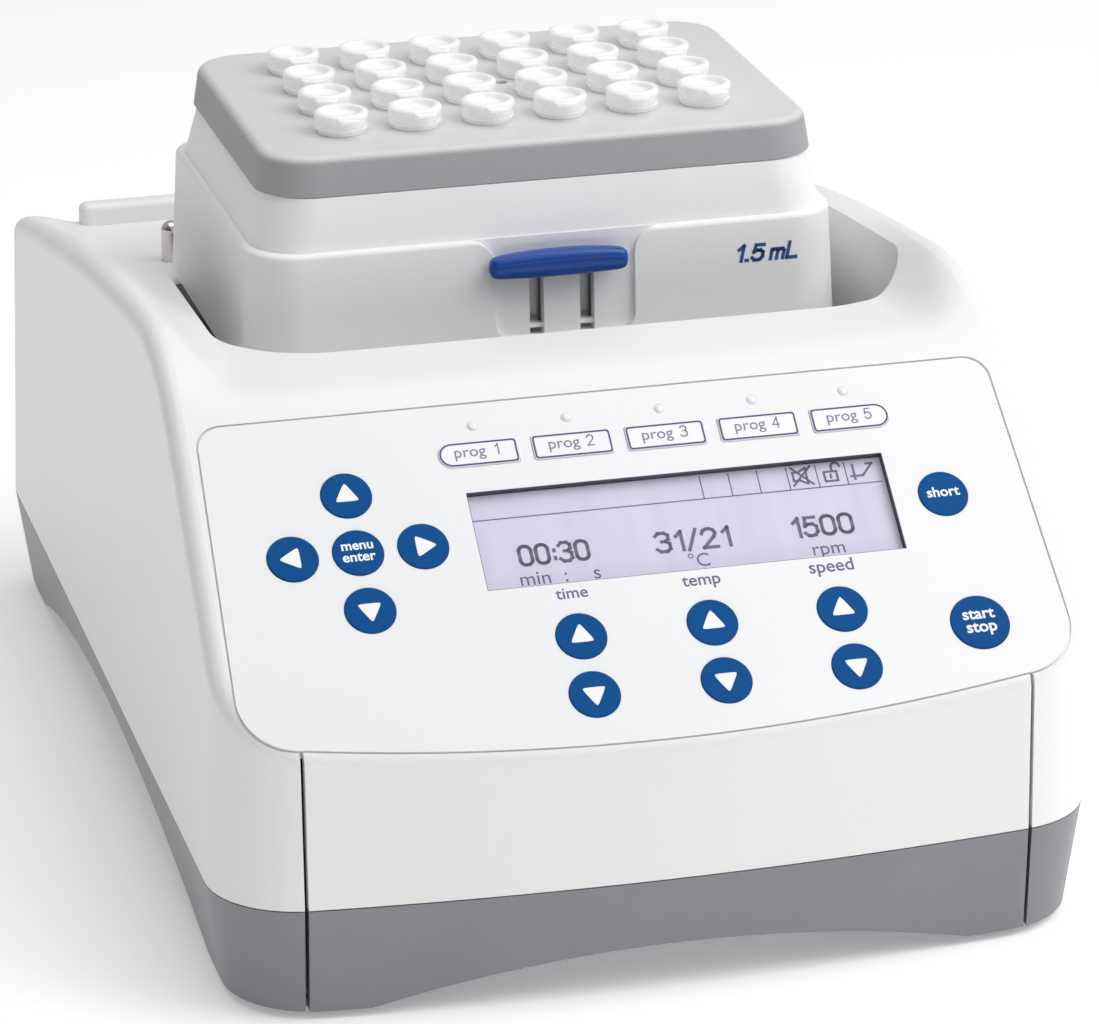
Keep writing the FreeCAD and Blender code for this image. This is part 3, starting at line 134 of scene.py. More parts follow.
print("a Signal adds Math nodes for + - *")

# %% [markdown]
# ## Words for finishes
# A finish starts as one Principled shader whose steady numbers sit on its own sockets. What changes
# over a surface is worked out from Object coordinates, which are metres from the object's origin:
# `speckle` is noise of a chosen grain size, `two_tone` mixes two colours by it, and `dent` turns it
# into tiny hills and pits.


# %% Start a finish
FINISHES = {}


def start_finish(name, **steady):
    """A named material; gives its shader node and the Object coordinates as a Signal."""
    material = bpy.data.materials.new(name)
    material.use_nodes = True
    shader = material.node_tree.nodes["Principled BSDF"]
    for key, value in steady.items():
        shader.inputs[key.replace("_", " ")].default_value = value
    FINISHES[name] = material
    texture = material.node_tree.nodes.new("ShaderNodeTexCoord")
    return shader, Signal(texture.outputs["Object"])


def feed(shader, **signals):
    """Link Signals to the shader's sockets by name, with _ for a space."""
    for key, signal in signals.items():
        signal.tree.links.new(signal.socket, shader.inputs[key.replace("_", " ")])


def speckle(place, grain_mm, detail=2.0):
    """Noise from 0 to 1 whose lumps are about grain_mm across."""
    return place.node("ShaderNodeTexNoise", {}, {"Vector": place, "Scale": 1.0 / (grain_mm * MM),
                                                 "Detail": detail})


def two_tone(amount, dark, light):
    """A colour that goes from dark to light as the amount goes from 0 to 1."""
    return amount.node("ShaderNodeMix", {"data_type": "RGBA"},
                       {0: amount, 6: (*dark, 1.0), 7: (*light, 1.0)}, output=2)


def dent(height, depth_mm, strength=1.0):
    """A normal from a height that goes from 0 to 1."""
    return height.node("ShaderNodeBump", {}, {"Strength": strength, "Distance": depth_mm * MM,
                                              "Height": height})


def stretched(place, scale, tilt=0.0):
    """Object coordinates scaled along each axis, and tilted about X in degrees first."""
    turned = place.node("ShaderNodeMapping", {"vector_type": "POINT"},
                        {"Vector": place, "Rotation": (math.radians(tilt), 0.0, 0.0)})
    return turned.node("ShaderNodeVectorMath", {"operation": "MULTIPLY"}, {0: turned, 1: scale})


def coordinate(place, axis):
    """One of the three coordinates as a value."""
    return place.node("ShaderNodeSeparateXYZ", {}, {0: place}, output="XYZ".index(axis))


print("words ready: speckle, two_tone, dent, stretched, coordinate")

# %% [markdown]
# ## Light
# White instruments look best under big soft sources. The room itself is a white dome, a little
# stronger overhead, and a dark card stands at the front left, so the round corner there turns
# greyer than the front. Three large panels add direction.

# %% Room light
scene = bpy.context.scene
scene.view_settings.view_transform = "Standard"
world = bpy.data.worlds.new("studio")
world.use_nodes = True
scene.world = world
room = world.node_tree.nodes["Background"]
room.inputs["Color"].default_value = (1.0, 1.0, 1.0, 1.0)
direction = Signal(world.node_tree.nodes.new("ShaderNodeTexCoord").outputs["Generated"])
CARD = Vector((-0.66, -0.74, 0.05)).normalized()
CARD_EDGE = 1.5
overhead = direction.math("MAXIMUM", coordinate(direction, "Z"), 0.0)
towards_card = direction.node("ShaderNodeVectorMath", {"operation": "DOT_PRODUCT"},
                              {0: direction, 1: CARD}, output=1)
card_shade = direction.math("POWER", direction.math("MAXIMUM", towards_card, 0.0), CARD_EDGE)
feed(room, Strength=0.40 + 0.08 * overhead - 0.40 * card_shade)


def soft_panel(name, place, aim, width, power):
    """A square area light at a place in metres, turned towards a point."""
    data = bpy.data.lights.new(name, "AREA")
    data.shape = "SQUARE"
    data.size = width
    data.energy = power
    lamp = bpy.data.objects.new(name, data)
    scene.collection.objects.link(lamp)
    towards = (Vector(aim) - Vector(place)).to_track_quat("-Z", "Y")
    lamp.matrix_world = Matrix.Translation(place) @ towards.to_matrix().to_4x4()


soft_panel("right_panel", (0.75, -0.45, 1.0), (0.0, 0.0, 0.10), 0.9, 7.8)
soft_panel("front_panel", (0.2, -1.2, 1.2), (0.0, 0.0, 0.10), 1.1, 2.8)
soft_panel("top_panel", (0.0, 0.1, 1.3), (0.0, 0.0, 0.1), 1.0, 4.4)
print(len(bpy.data.lights), "panels")

# %% [markdown]
# ## Moulded plastic
# Housings of instruments are injection moulded and often lacquered. Up close the surface is never
# one colour: the tone drifts a little over centimetres, and the mould's spark-eroded grain breaks up
# the gloss. One recipe with different numbers gives the satin casing, the grained grey base, the
# matt block housing and the black fittings.


# %% The moulded recipe
def moulded(name, dark, light, rough, grain_mm, depth_mm, drift_mm=45.0, swing=0.12, **steady):
    """Plastic whose tone drifts over drift_mm and whose grain changes gloss and normal."""
    shader, place = start_finish(name, **steady)
    drift = speckle(place, drift_mm, 3.0)
    grain = speckle(place, grain_mm)
    feed(shader,
         Base_Color=two_tone(0.65 * drift + 0.35 * grain, dark, light),
         Roughness=(rough - swing / 2) + swing * grain,
         Normal=dent(grain, depth_mm, 0.6))


moulded("housing_white", (0.86, 0.852, 0.845), (0.92, 0.912, 0.905), 0.34, 0.9, 0.006)
moulded("foil_white", (0.84, 0.845, 0.86), (0.90, 0.905, 0.92), 0.30, 0.5, 0.004, drift_mm=70.0)
moulded("base_grey", (0.195, 0.203, 0.222), (0.275, 0.283, 0.304), 0.40, 0.55, 0.045, drift_mm=30.0)
moulded("block_white", (0.91, 0.912, 0.92), (0.965, 0.967, 0.975), 0.48, 0.6, 0.025)
moulded("liner_grey", (0.42, 0.43, 0.44), (0.52, 0.53, 0.54), 0.5, 0.8, 0.02)
moulded("black_plastic", (0.012, 0.012, 0.013), (0.03, 0.03, 0.032), 0.45, 0.6, 0.03)
moulded("rocker_black", (0.010, 0.010, 0.011), (0.022, 0.022, 0.024), 0.22, 0.8, 0.006)
moulded("foot_rubber", (0.018, 0.018, 0.019), (0.05, 0.05, 0.052), 0.8, 1.1, 0.06)
moulded("key_blue", (0.001, 0.066, 0.250), (0.003, 0.092, 0.315), 0.38, 0.5, 0.004, swing=0.08,
        Specular_IOR_Level=0.06)
moulded("grip_blue", (0.004, 0.050, 0.30), (0.010, 0.085, 0.40), 0.24, 1.2, 0.004, swing=0.06,
        Coat_Weight=0.2, Specular_IOR_Level=0.3)
moulded("prog_white", (0.88, 0.885, 0.90), (0.94, 0.945, 0.955), 0.32, 0.5, 0.003)
moulded("lamp_white", (0.84, 0.84, 0.84), (0.92, 0.92, 0.92), 0.25, 0.6, 0.004, Coat_Weight=0.3)
moulded("ceramic_white", (0.74, 0.73, 0.70), (0.88, 0.87, 0.84), 0.6, 0.4, 0.01)
moulded("board_green", (0.02, 0.12, 0.05), (0.04, 0.22, 0.10), 0.38, 2.2, 0.02, Coat_Weight=0.3)
# This dark finish is the surround of the screen, and it also serves as painted shade on the window's walls.
moulded("surround_and_shade_dark", (0.045, 0.038, 0.075), (0.085, 0.075, 0.125), 0.45, 0.6, 0.01)
print(len(FINISHES), "moulded finishes")

# %% [markdown]
# ## Metals
# Milled aluminium shows fine parallel cutter marks, sheet steel a coarser rolling grain, and ground
# shafts hardly any. All three are noise squeezed hard across one direction, so that lumps turn into
# lines.


# %% The metal recipe
def drawn_metal(name, dark, light, rough, scale, depth_mm, swing=0.14):
    """Metal with grain lines: noise in coordinates that are stretched by scale along x, y and z."""
    shader, place = start_finish(name, Metallic=1.0)
    lines = speckle(stretched(place, scale), 1.0, 3.8)
    cloud = speckle(place, 25.0, 3.0)
    feed(shader,
         Base_Color=two_tone(0.6 * lines + 0.4 * cloud, dark, light),
         Roughness=(rough - swing / 2) + swing * lines,
         Normal=dent(lines, depth_mm, 0.4))


drawn_metal("aluminium_raw", (0.58, 0.585, 0.60), (0.78, 0.785, 0.80), 0.34, (0.12, 2.2, 2.2), 0.01)
drawn_metal("steel_sheet", (0.42, 0.425, 0.43), (0.62, 0.62, 0.62), 0.32, (2.0, 0.15, 2.0), 0.01)
drawn_metal("steel_screw", (0.38, 0.38, 0.39), (0.58, 0.58, 0.58), 0.36, (1.6, 1.6, 0.5), 0.02)
drawn_metal("bearing_steel", (0.52, 0.52, 0.54), (0.72, 0.72, 0.73), 0.16, (0.4, 0.4, 3.0), 0.004)
drawn_metal("post_nickel", (0.56, 0.53, 0.49), (0.78, 0.75, 0.71), 0.14, (0.5, 0.5, 2.4), 0.003)
print(len(FINISHES), "finishes so far")

# %% [markdown]
# ## The grey cover
# The cover of the exchangeable block is one moulding with two finishes: its top is polished to a
# satin light grey, and its rim is left grained. The rim is also painted much darker than the top:
# painted shade for the sides that face away from the light. The height of a point tells which of
# the two it is, with a soft change over the rounded edge.

# %% Cover finish
cover_low, cover_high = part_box("block_cover")
shader, place = start_finish("cover_grey")
height = coordinate(place, "Z")
# The grain and the painted shade of the rim end at this height; the polish starts just below the top.
GRAIN_AND_SHADE_ENDS = cover_high.z - 1.9 * MM
POLISH_STARTS = cover_high.z - 0.15 * MM
on_top = height.node("ShaderNodeMapRange", {"interpolation_type": "SMOOTHSTEP"},
                     {0: height, 1: GRAIN_AND_SHADE_ENDS, 2: POLISH_STARTS})
cover_drift = speckle(place, 60.0, 3.0)
cover_grain = speckle(place, 0.6)
# Painted shade: the rim's tone is much darker than the top's, because less light falls on the sides.
rim_painted_shade_tone = two_tone(0.5 * cover_drift + 0.5 * cover_grain, (0.32, 0.325, 0.34), (0.41, 0.415, 0.43))
top_tone = two_tone(0.8 * cover_drift + 0.2 * cover_grain, (0.65, 0.645, 0.64), (0.74, 0.735, 0.73))
cover_tone = on_top.node("ShaderNodeMix", {"data_type": "RGBA"},
                         {0: on_top, 6: rim_painted_shade_tone, 7: top_tone}, output=2)
feed(shader, Base_Color=cover_tone, Roughness=0.50 - 0.12 * on_top + 0.10 * cover_grain,
     Normal=dent(cover_grain * (1.0 - 0.75 * on_top), 0.05, 0.7))
print("cover rim from", round(cover_low.z / MM, 1), "to", round(cover_high.z / MM, 1), "mm")

# %% [markdown]
# ## Polypropylene
# Sample tubes are frosted polypropylene: milky, a little see-through, with a waxy gloss. A part
# transparent white with cloudy thickness is enough at this scale, and it stays simple to bake. A faint
# white glow is painted in as well: painted light for the light that the frosted plastic scatters.

# %% Tube and window finishes
# The white emission is a painted glow: the tubes are no lamp, and it stands in for scattered light.
shader, place = start_finish("tube_frosted", IOR=1.49, Emission_Strength=0.10,
                              Emission_Color=(1.0, 1.0, 1.0, 1.0))
cloud = speckle(place, 4.0, 3.0)
feed(shader, Base_Color=two_tone(cloud, (0.90, 0.915, 0.93), (0.98, 0.985, 0.99)),
     Alpha=0.66 + 0.22 * cloud, Roughness=0.16 + 0.14 * cloud, Normal=dent(cloud, 0.12, 0.5))
shader, place = start_finish("window_clear", IOR=1.45)
haze = speckle(place, 9.0, 3.0)
feed(shader, Base_Color=two_tone(haze, (0.85, 0.85, 0.92), (0.92, 0.92, 0.97)),
     Alpha=0.035 + 0.02 * haze, Roughness=0.05 + 0.05 * haze)
print("tube_frosted and window_clear are part transparent")

# %% [markdown]
# ## Display glass
# A liquid crystal display is a lavender sheet cut into a fine grid of cells. The grid follows the
# sloping panel, so the coordinates are first tilted back by the panel's slope; a fine sine along
# each direction then draws the faint lines between the cells, and a slow noise the backlight.

# %% Display finish
SLOPE = 39.7
shader, place = start_finish("display_lavender", Emission_Strength=0.14, Specular_IOR_Level=0.3)
flat = stretched(place, (1.0, 1.0, 1.0), -SLOPE)
CELL_PITCH = 0.42
CELL_WAVE = 2 * math.pi / (CELL_PITCH * MM)
cell_u = flat.math("SINE", coordinate(flat, "X") * CELL_WAVE)
cell_v = flat.math("SINE", coordinate(flat, "Y") * CELL_WAVE)
streak = speckle(stretched(flat, (1.0, 0.05, 1.0)), 3.0, 2.0)
glow = 0.5 + 0.05 * cell_u + 0.05 * cell_v + 0.7 * (streak - 0.5)
screen_tone = two_tone(glow, (0.50, 0.51, 0.66), (0.66, 0.67, 0.80))
feed(shader, Base_Color=screen_tone, Emission_Color=screen_tone, Roughness=0.30 + 0.1 * streak)
print("display cells every", CELL_PITCH, "mm")

# %% [markdown]
# ## Printing inks
# Legends are screen printed. Ink lies on the surface as a thin film with slightly uneven cover, so
# even a one-colour ink drifts a little in tone.


# %% Inks
def ink(name, dark, light, rough=0.42):
    """A printed film: its tone drifts over a few millimetres."""
    moulded(name, dark, light, rough, 0.7, 0.003, drift_mm=6.0, swing=0.08)


ink("ink_white", (0.90, 0.905, 0.92), (0.97, 0.975, 0.98))
ink("ink_label", (0.085, 0.095, 0.22), (0.12, 0.13, 0.28))
ink("ink_fine", (0.15, 0.16, 0.31), (0.20, 0.21, 0.37))
ink("ink_outline", (0.025, 0.045, 0.20), (0.045, 0.07, 0.27))
ink("ink_block", (0.018, 0.075, 0.29), (0.03, 0.10, 0.36))
ink("ink_crystal", (0.055, 0.048, 0.15), (0.085, 0.075, 0.20))
print(len(FINISHES), "finishes")

# %% [markdown]
# ## Dress the CAD nodes
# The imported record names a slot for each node. Every slot has a finish of the same name, except the
# display module, whose body is the dark surround of the screen.

# %% Give each CAD node its finish
slots = {row["node"]: row["material_slot"] for row in frame["record"]["subparts"]}
slots["display_module"] = "surround_and_shade_dark"
for node_name, node in nodes.items():
    node.data.materials.clear()
    node.data.materials.append(FINISHES[slots[node_name]])
print("finished", len(nodes), "nodes with", len(set(slots.values())), "finishes")

# %% [markdown]
# ## Places on the sloping panel
# Legends are easy to lay out flat: u to the right, v up the slope and h out of the surface. One
# turn about the X axis takes such a point into the frame. A key's own place comes from its CAD box,
# whose middle lies on the key's axis.

# %% Panel coordinates
PANEL_FOOT = np.array((0.0, -145.4, 65.2))
slope = math.radians(SLOPE)


def from_panel(points):
    """(u, v, h) rows in mm to frame rows in mm: x = u, y = v cos - h sin, z = v sin + h cos."""
    u, v, h = np.asarray(points, float).T
    rows = np.stack([u, v * math.cos(slope) - h * math.sin(slope),
                     v * math.sin(slope) + h * math.cos(slope)], axis=1)
    return rows + PANEL_FOOT


def key_centre(node_name):
    """The (u, v) of a key, from the middle of its CAD box."""
    low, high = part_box(node_name)
    middle = (np.array(low) + np.array(high)) / 2 / MM - PANEL_FOOT
    return middle[0], middle[1] * math.cos(slope) + middle[2] * math.sin(slope)


key_names = sorted(name for name in nodes if name.startswith("key_"))
print(len(key_names), "keys; start key at", [round(c, 1) for c in key_centre("key_start_stop")])

# %% [markdown]
# ## From arrays to pieces
# A piece is an array of points and a list of faces. This helper makes the mesh in one call, merges
# points that coincide, turns the faces outwards, and lets the piece ride on its body.


# %% Make a piece
def make_piece(name, points, faces, finish, body, smooth=False):
    """Points in mm and corner lists to a finished piece that rides on a body."""
    mesh = bpy.data.meshes.new(name)
    mesh.from_pydata((np.asarray(points, float) * MM).tolist(), [], [tuple(face) for face in faces])
    work = bmesh.new()
    work.from_mesh(mesh)
    bmesh.ops.remove_doubles(work, verts=work.verts, dist=1e-7)
    bmesh.ops.recalc_face_normals(work, faces=work.faces)
    work.to_mesh(mesh)
    work.free()
    mesh.polygons.foreach_set("use_smooth", np.full(len(mesh.polygons), smooth))
    mesh.materials.append(FINISHES[finish])
    piece = bpy.data.objects.new(name, mesh)
    scene.collection.objects.link(piece)
    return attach(piece, body)


def body_of_key(node_name):
    return node_name.replace("key_", "button_")


def flat_shape(outline, low, high):
    """A closed outline of (u, v) rows as a thin plate between two heights."""
    outline = np.asarray(outline, float)
    count = len(outline)
    bottom = np.column_stack([outline, np.full(count, low)])
    top = np.column_stack([outline, np.full(count, high)])
    here = np.arange(count)
    after = (here + 1) % count
    sides = np.column_stack([here, after, after + count, here + count])
    faces = sides.tolist() + [list(here[::-1]), list(here + count)]
    return np.vstack([bottom, top]), faces


def ring_shape(outer, inner, low, high):
    """The band between two outlines with the same number of points, as a thin plate."""
    count = len(outer)
    loops = [(outer, low), (outer, high), (inner, high), (inner, low)]
    points = np.vstack([np.column_stack([loop, np.full(count, h)]) for loop, h in loops])
    here = np.arange(count)
    after = (here + 1) % count
    faces = []
    for k in range(4):
        a, b = k * count, (k + 1) % 4 * count
        faces += np.column_stack([here + a, after + a, after + b, here + b]).tolist()
    return points, faces


print("helpers ready: make_piece, flat_shape, ring_shape")

# %% [markdown]
# ## Arrows on the keys
# Each arrow is a triangle with slightly rounded corners. A polar rule gives it: the radius of an
# equilateral triangle in the direction t is its inner radius over the cosine of the angle to the
# nearest side, and a power mean with a circle takes the points off the corners.

# %% Arrows
KEY_TOP = 0.35
PRINT = 0.05
PRINT_LIFT = 0.002
ARROW_SIZE = 3.3


def arrow_outline(turn, size=ARROW_SIZE, count=60):
    """r(t) = size * (0.5 / cos(nearest side)) softened towards a circle; turn 0 points up."""
    t = np.linspace(0, 2 * np.pi, count, endpoint=False)
    to_side = (t % (2 * np.pi / 3)) - np.pi / 3
    sharp = 0.5 / np.cos(to_side)
    radius = size * (sharp ** -9 + 0.93 ** -9) ** (-1 / 9)
    angle = t + np.pi / 2 + turn
    return np.column_stack([radius * np.cos(angle), radius * np.sin(angle)])


ARROWS = {"up": 0.0, "left": np.pi / 2, "down": np.pi, "right": -np.pi / 2}
arrow_count = 0
for key_name in key_names:
    direction = key_name.split("_")[-1]
    if direction in ARROWS:
        points, faces = flat_shape(arrow_outline(ARROWS[direction]), KEY_TOP + PRINT_LIFT, KEY_TOP + PRINT)
        u, v = key_centre(key_name)
        make_piece(key_name.replace("key_", "arrow_"), from_panel(points + (u, v, 0)), faces,
                   "ink_white", body_of_key(key_name))
        arrow_count += 1
print(arrow_count, "arrows")

# %% [markdown]
# ## Outlines of the program keys
# The five white keys carry a thin blue line along their edge. The line is the band between two
# outlines of the same kind, one inside the other. The first and the last key end in a half circle.


# %% Program key outlines
def capsule(half, tall, left_radius, right_radius, steps=10):
    """A rectangle's outline with its own corner radius at each end, as (u, v) rows."""
    quarter = np.linspace(0, np.pi / 2, steps)
    rows = []
    for side, radius, start in ((1, right_radius, -np.pi / 2), (1, right_radius, 0),
                                (-1, left_radius, np.pi / 2), (-1, left_radius, np.pi)):
        turn = quarter + start
        up = 1 if start in (0, np.pi / 2) else -1
        rows.append(np.column_stack([side * (half - radius) + radius * np.cos(turn),
                                     up * (tall - radius) + radius * np.sin(turn)]))
    return np.vstack(rows)


PROG_KEYS = range(1, 6)
PROG_LENGTH = 18.7
PROG_WIDTH = 6.5
LINE_INSETS = (0.24, 0.66)
for number in PROG_KEYS:
    key_name = f"key_prog_{number}"
    low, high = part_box(key_name)
    half = (high.x - low.x) / MM / 2
    tall = half * PROG_WIDTH / PROG_LENGTH
    outlines = []
    for inset in LINE_INSETS:
        left = tall - inset if number == PROG_KEYS[0] else 0.9 - 0.6 * inset
        right = tall - inset if number == PROG_KEYS[-1] else 0.9 - 0.6 * inset
        outlines.append(capsule(half - inset, tall - inset, left, right))
    points, faces = ring_shape(*outlines, KEY_TOP + PRINT_LIFT, KEY_TOP + PRINT)
    u, v = key_centre(key_name)
    make_piece(f"outline_prog_{number}", from_panel(points + (u, v, 0)), faces, "ink_outline",
               body_of_key(key_name))
print("program key", round(2 * half, 1), "by", round(2 * tall, 1), "mm")

# %% [markdown]
# ## Lettering
# Text objects are quick to set, but they are curves. Each word is turned into a mesh first; then its
# points are scaled to the wanted width and laid on the surface, so the finished piece sits at the
# origin like every CAD node.


# %% Set a word
def word_mesh(text, width, bold=0.0, slant=0.0, thick=PRINT):
    """A word as points and faces: width in mm, centred on u = 0, its baseline on v = 0."""
    curve = bpy.data.curves.new("word", "FONT")
    curve.body = text
    curve.align_x = "CENTER"
    curve.offset = bold
    curve.shear = slant
    curve.extrude = 0.5
    curve.resolution_u = 4
    holder = bpy.data.objects.new("word", curve)
    scene.collection.objects.link(holder)
    bpy.context.view_layer.update()
    mesh = bpy.data.meshes.new_from_object(holder.evaluated_get(bpy.context.evaluated_depsgraph_get()))
    points = np.empty(len(mesh.vertices) * 3)
    mesh.vertices.foreach_get("co", points)
    points = points.reshape(-1, 3)
    faces = [list(face.vertices) for face in mesh.polygons]
    bpy.data.objects.remove(holder)
    bpy.data.meshes.remove(mesh)
    bpy.data.curves.remove(curve)
    spread = points[:, 0].max() - points[:, 0].min()
    points[:, 0] -= (points[:, 0].max() + points[:, 0].min()) / 2
    scale = width / spread
    return points * (scale, scale, thick) + (0, 0, thick / 2), faces


def panel_word(name, text, width, u, v, h, finish, body, slot, **style):
    """A word printed on the sloping panel, at height h."""
    points, faces = word_mesh(text, width, **style)
    return make_piece(name, from_panel(points + (u, v, h + PRINT_LIFT)), faces, finish, body)


LABEL_ROW = 31.0
for label, width, u in (("time", 7.4, -16.4), ("temp", 8.9, 13.8), ("speed", 10.5, 44.5)):
    panel_word(f"label_{label}", label, width, u, LABEL_ROW, 0.0, "ink_label", "housing", "foil_white",
               bold=0.008)
for number in PROG_KEYS:
    u, v = key_centre(f"key_prog_{number}")
    panel_word(f"label_prog_{number}", "prog", 7.3, u - 1.9, v - 0.75, KEY_TOP, "ink_fine",
               f"button_prog_{number}", "prog_white")
print("labels set")

# %% Words on the blue keys
BLUE_KEY_WORDS = (("menu_enter", "menu", 7.3, 0.75), ("menu_enter", "enter", 7.6, -2.25),
                  ("short", "short", 7.8, -0.75), ("start_stop", "start", 7.6, 0.85),
                  ("start_stop", "stop", 7.2, -2.55))
for key, text, width, rise in BLUE_KEY_WORDS:
    u, v = key_centre(f"key_{key}")
    panel_word(f"word_{text}", text, width, u, v + rise, KEY_TOP, "ink_white", f"button_{key}",
               "key_blue", bold=0.022)
print(len(BLUE_KEY_WORDS), "words on blue keys")

# %% [markdown]
# ## The display
# The screen lies about two millimetres behind the foil, inside a dark surround. Because the picture
# lies deeper than the panel, it shifts behind the window's edge as the eye moves, which a picture
# painted on the window would not do. First come the screen and the walls of the window; the walls are
# coloured dark as painted shade of the recess under the foil's edge.

# %% Screen and window walls
WINDOW = (-35.2, 63.2, 35.0, 60.7)
SCREEN_H = -2.28


def window_outline(inset):
    """The window's four corners, moved inwards by an inset."""
    left, right, low, high = WINDOW[0] + inset, WINDOW[1] - inset, WINDOW[2] + inset, WINDOW[3] - inset
    return np.array([(left, low), (right, low), (right, high), (left, high)], float)


screen_u = np.linspace(WINDOW[0] - 0.9, WINDOW[1] - 0.1, 60)
screen_v = np.linspace(WINDOW[2] - 0.9, WINDOW[3] + 0.15, 20)
grid_u, grid_v = np.meshgrid(screen_u, screen_v)
rows, columns = grid_u.shape
grid_points = np.column_stack([grid_u.ravel(), grid_v.ravel(), np.full(grid_u.size, SCREEN_H)])
corner = (np.arange(rows - 1)[:, None] * columns + np.arange(columns - 1)).ravel()
grid_faces = np.column_stack([corner, corner + 1, corner + columns + 1, corner + columns])
screen = make_piece("display_screen", from_panel(grid_points), grid_faces, "display_lavender", "housing")
solid = screen.modifiers.new("thickness", "SOLIDIFY")
solid.thickness = 0.015 * MM
solid.offset = 0.0
WALL_OUTER = 0.02
WALL_INNER = 0.14
# Painted shade: the walls of the window are coloured dark for the shadow in the recess.
points, faces = ring_shape(window_outline(WALL_OUTER), window_outline(WALL_INNER), -1.04, -0.04)
make_piece("window_wall", from_panel(points), faces, "surround_and_shade_dark", "housing")
print("screen", round(screen_u[-1] - screen_u[0], 1), "by", round(screen_v[-1] - screen_v[0], 1), "mm")

# %% [markdown]
# Lines and symbols on the screen are strokes: a path with a width. Each segment of the path becomes
# a thin rectangle that is half a width longer at both ends, so corners close.

# %% Strokes
FIGURE_H = SCREEN_H + 0.02
SHIFT = np.array((0.6, 1.3))


def strokes(paths, width, thick=0.03):
    """Paths of (u, v) rows as thin bars: one box of the stroke's width round each segment."""
    starts = np.vstack([np.asarray(path, float)[:-1] for path in paths])
    ends = np.vstack([np.asarray(path, float)[1:] for path in paths])
    along = ends - starts
    along /= np.linalg.norm(along, axis=1, keepdims=True)
    side = np.column_stack([-along[:, 1], along[:, 0]]) * width / 2
    reach = along * width / 2
    corners = np.stack([starts - reach - side, ends + reach - side, ends + reach + side,
                        starts - reach + side], axis=1)
    low = np.concatenate([corners, np.zeros((*corners.shape[:2], 1))], axis=2)
    high = np.concatenate([corners, np.full((*corners.shape[:2], 1), thick)], axis=2)
    points = np.concatenate([low, high], axis=1).reshape(-1, 3)
    box = np.array([(3, 2, 1, 0), (4, 5, 6, 7), (0, 1, 5, 4), (1, 2, 6, 5), (2, 3, 7, 6), (3, 0, 4, 7)])
    faces = (box[None] + 8 * np.arange(len(starts))[:, None, None]).reshape(-1, 4)
    return points, faces


THIN_LINE = 0.28
SYMBOL_LINE = 0.55
status_low = 53.1
status_high = 59.0
lines = [[(-36.0, status_low), (61.7, status_low)]]
lines += [[(u, status_low), (u, status_high)] for u in (19.3, 26.1, 32.9, 39.9, 46.9, 53.8)]
points, faces = strokes(lines, THIN_LINE)
make_piece("display_lines", from_panel(points + (*SHIFT, FIGURE_H)), faces, "ink_crystal", "housing")
half_turn = np.linspace(0, np.pi, 9)
mute = [[(41.2, 55.4), (42.6, 55.4), (44.4, 54.4), (44.4, 58.6), (42.6, 57.6), (41.2, 57.6),
         (41.2, 55.4)],
        [(41.0, 54.2), (45.6, 58.9)],
        [(41.0, 58.9), (45.6, 54.2)]]
lock = [[(48.6, 54.5), (51.6, 54.5), (51.6, 57.0), (48.6, 57.0), (48.6, 54.5)],
        [(50.1, 55.4), (50.1, 56.2)],
        np.column_stack([51.6 + np.cos(half_turn), 58.2 + np.sin(half_turn)]),
        [(50.6, 57.0), (50.6, 58.2)]]
graph = [[(54.9, 55.2), (57.7, 55.2), (60.4, 58.2)],
         [(55.7, 58.2), (55.7, 54.4)],
         [(59.0, 58.2), (60.4, 58.2)]]
points, faces = strokes(mute + lock + graph, SYMBOL_LINE)
make_piece("display_symbols", from_panel(points + (*SHIFT, FIGURE_H)), faces, "ink_crystal", "housing")
print(len(lines), "lines and three symbols")

# %% [markdown]
# Figures on such a display, and on the keys, are plain strokes too. Each character is one or more
# paths in a box one unit tall, and a word is their sum, scaled to the wanted width and height.

# %% Stroke characters
ROUND = capsule(0.29, 0.5, 0.27, 0.27, 6) + (0.29, 0.5)
CHARACTERS = {
    "0": [np.vstack([ROUND, ROUND[:1]])],
    "1": [[(0.08, 0.76), (0.32, 1.0), (0.32, 0.0)]],
    "2": [[(0.0, 0.76), (0.08, 0.92), (0.22, 1.0), (0.38, 1.0), (0.52, 0.92), (0.58, 0.76), (0.52, 0.58),
           (0.0, 0.0), (0.6, 0.0)]],
    "3": [[(0.02, 0.86), (0.16, 1.0), (0.42, 1.0), (0.56, 0.88), (0.56, 0.66), (0.42, 0.54), (0.26, 0.54)],
          [(0.42, 0.54), (0.58, 0.42), (0.58, 0.14), (0.42, 0.0), (0.16, 0.0), (0.0, 0.14)]],
    "4": [[(0.44, 0.0), (0.44, 1.0), (0.0, 0.28), (0.6, 0.28)]],
    "5": [[(0.54, 1.0), (0.1, 1.0), (0.05, 0.54), (0.2, 0.64), (0.4, 0.64), (0.56, 0.5), (0.58, 0.22),
           (0.46, 0.04), (0.3, 0.0), (0.14, 0.02), (0.0, 0.16)]],
    ":": [[(0.06, 0.18), (0.06, 0.24)], [(0.06, 0.60), (0.06, 0.66)]],
    "/": [[(0.0, -0.04), (0.42, 1.04)]],
    ".": [[(0.03, 0.02), (0.10, 0.02)]],
    "m": [[(0.0, 0.0), (0.0, 0.62)], [(0.0, 0.5), (0.12, 0.62), (0.26, 0.62), (0.34, 0.5), (0.34, 0.0)],
          [(0.34, 0.5), (0.46, 0.62), (0.6, 0.62), (0.68, 0.5), (0.68, 0.0)]],
    "L": [[(0.0, 1.0), (0.0, 0.0), (0.5, 0.0)]],
    " ": [[(0.0, 0.0), (0.001, 0.0)]],
}


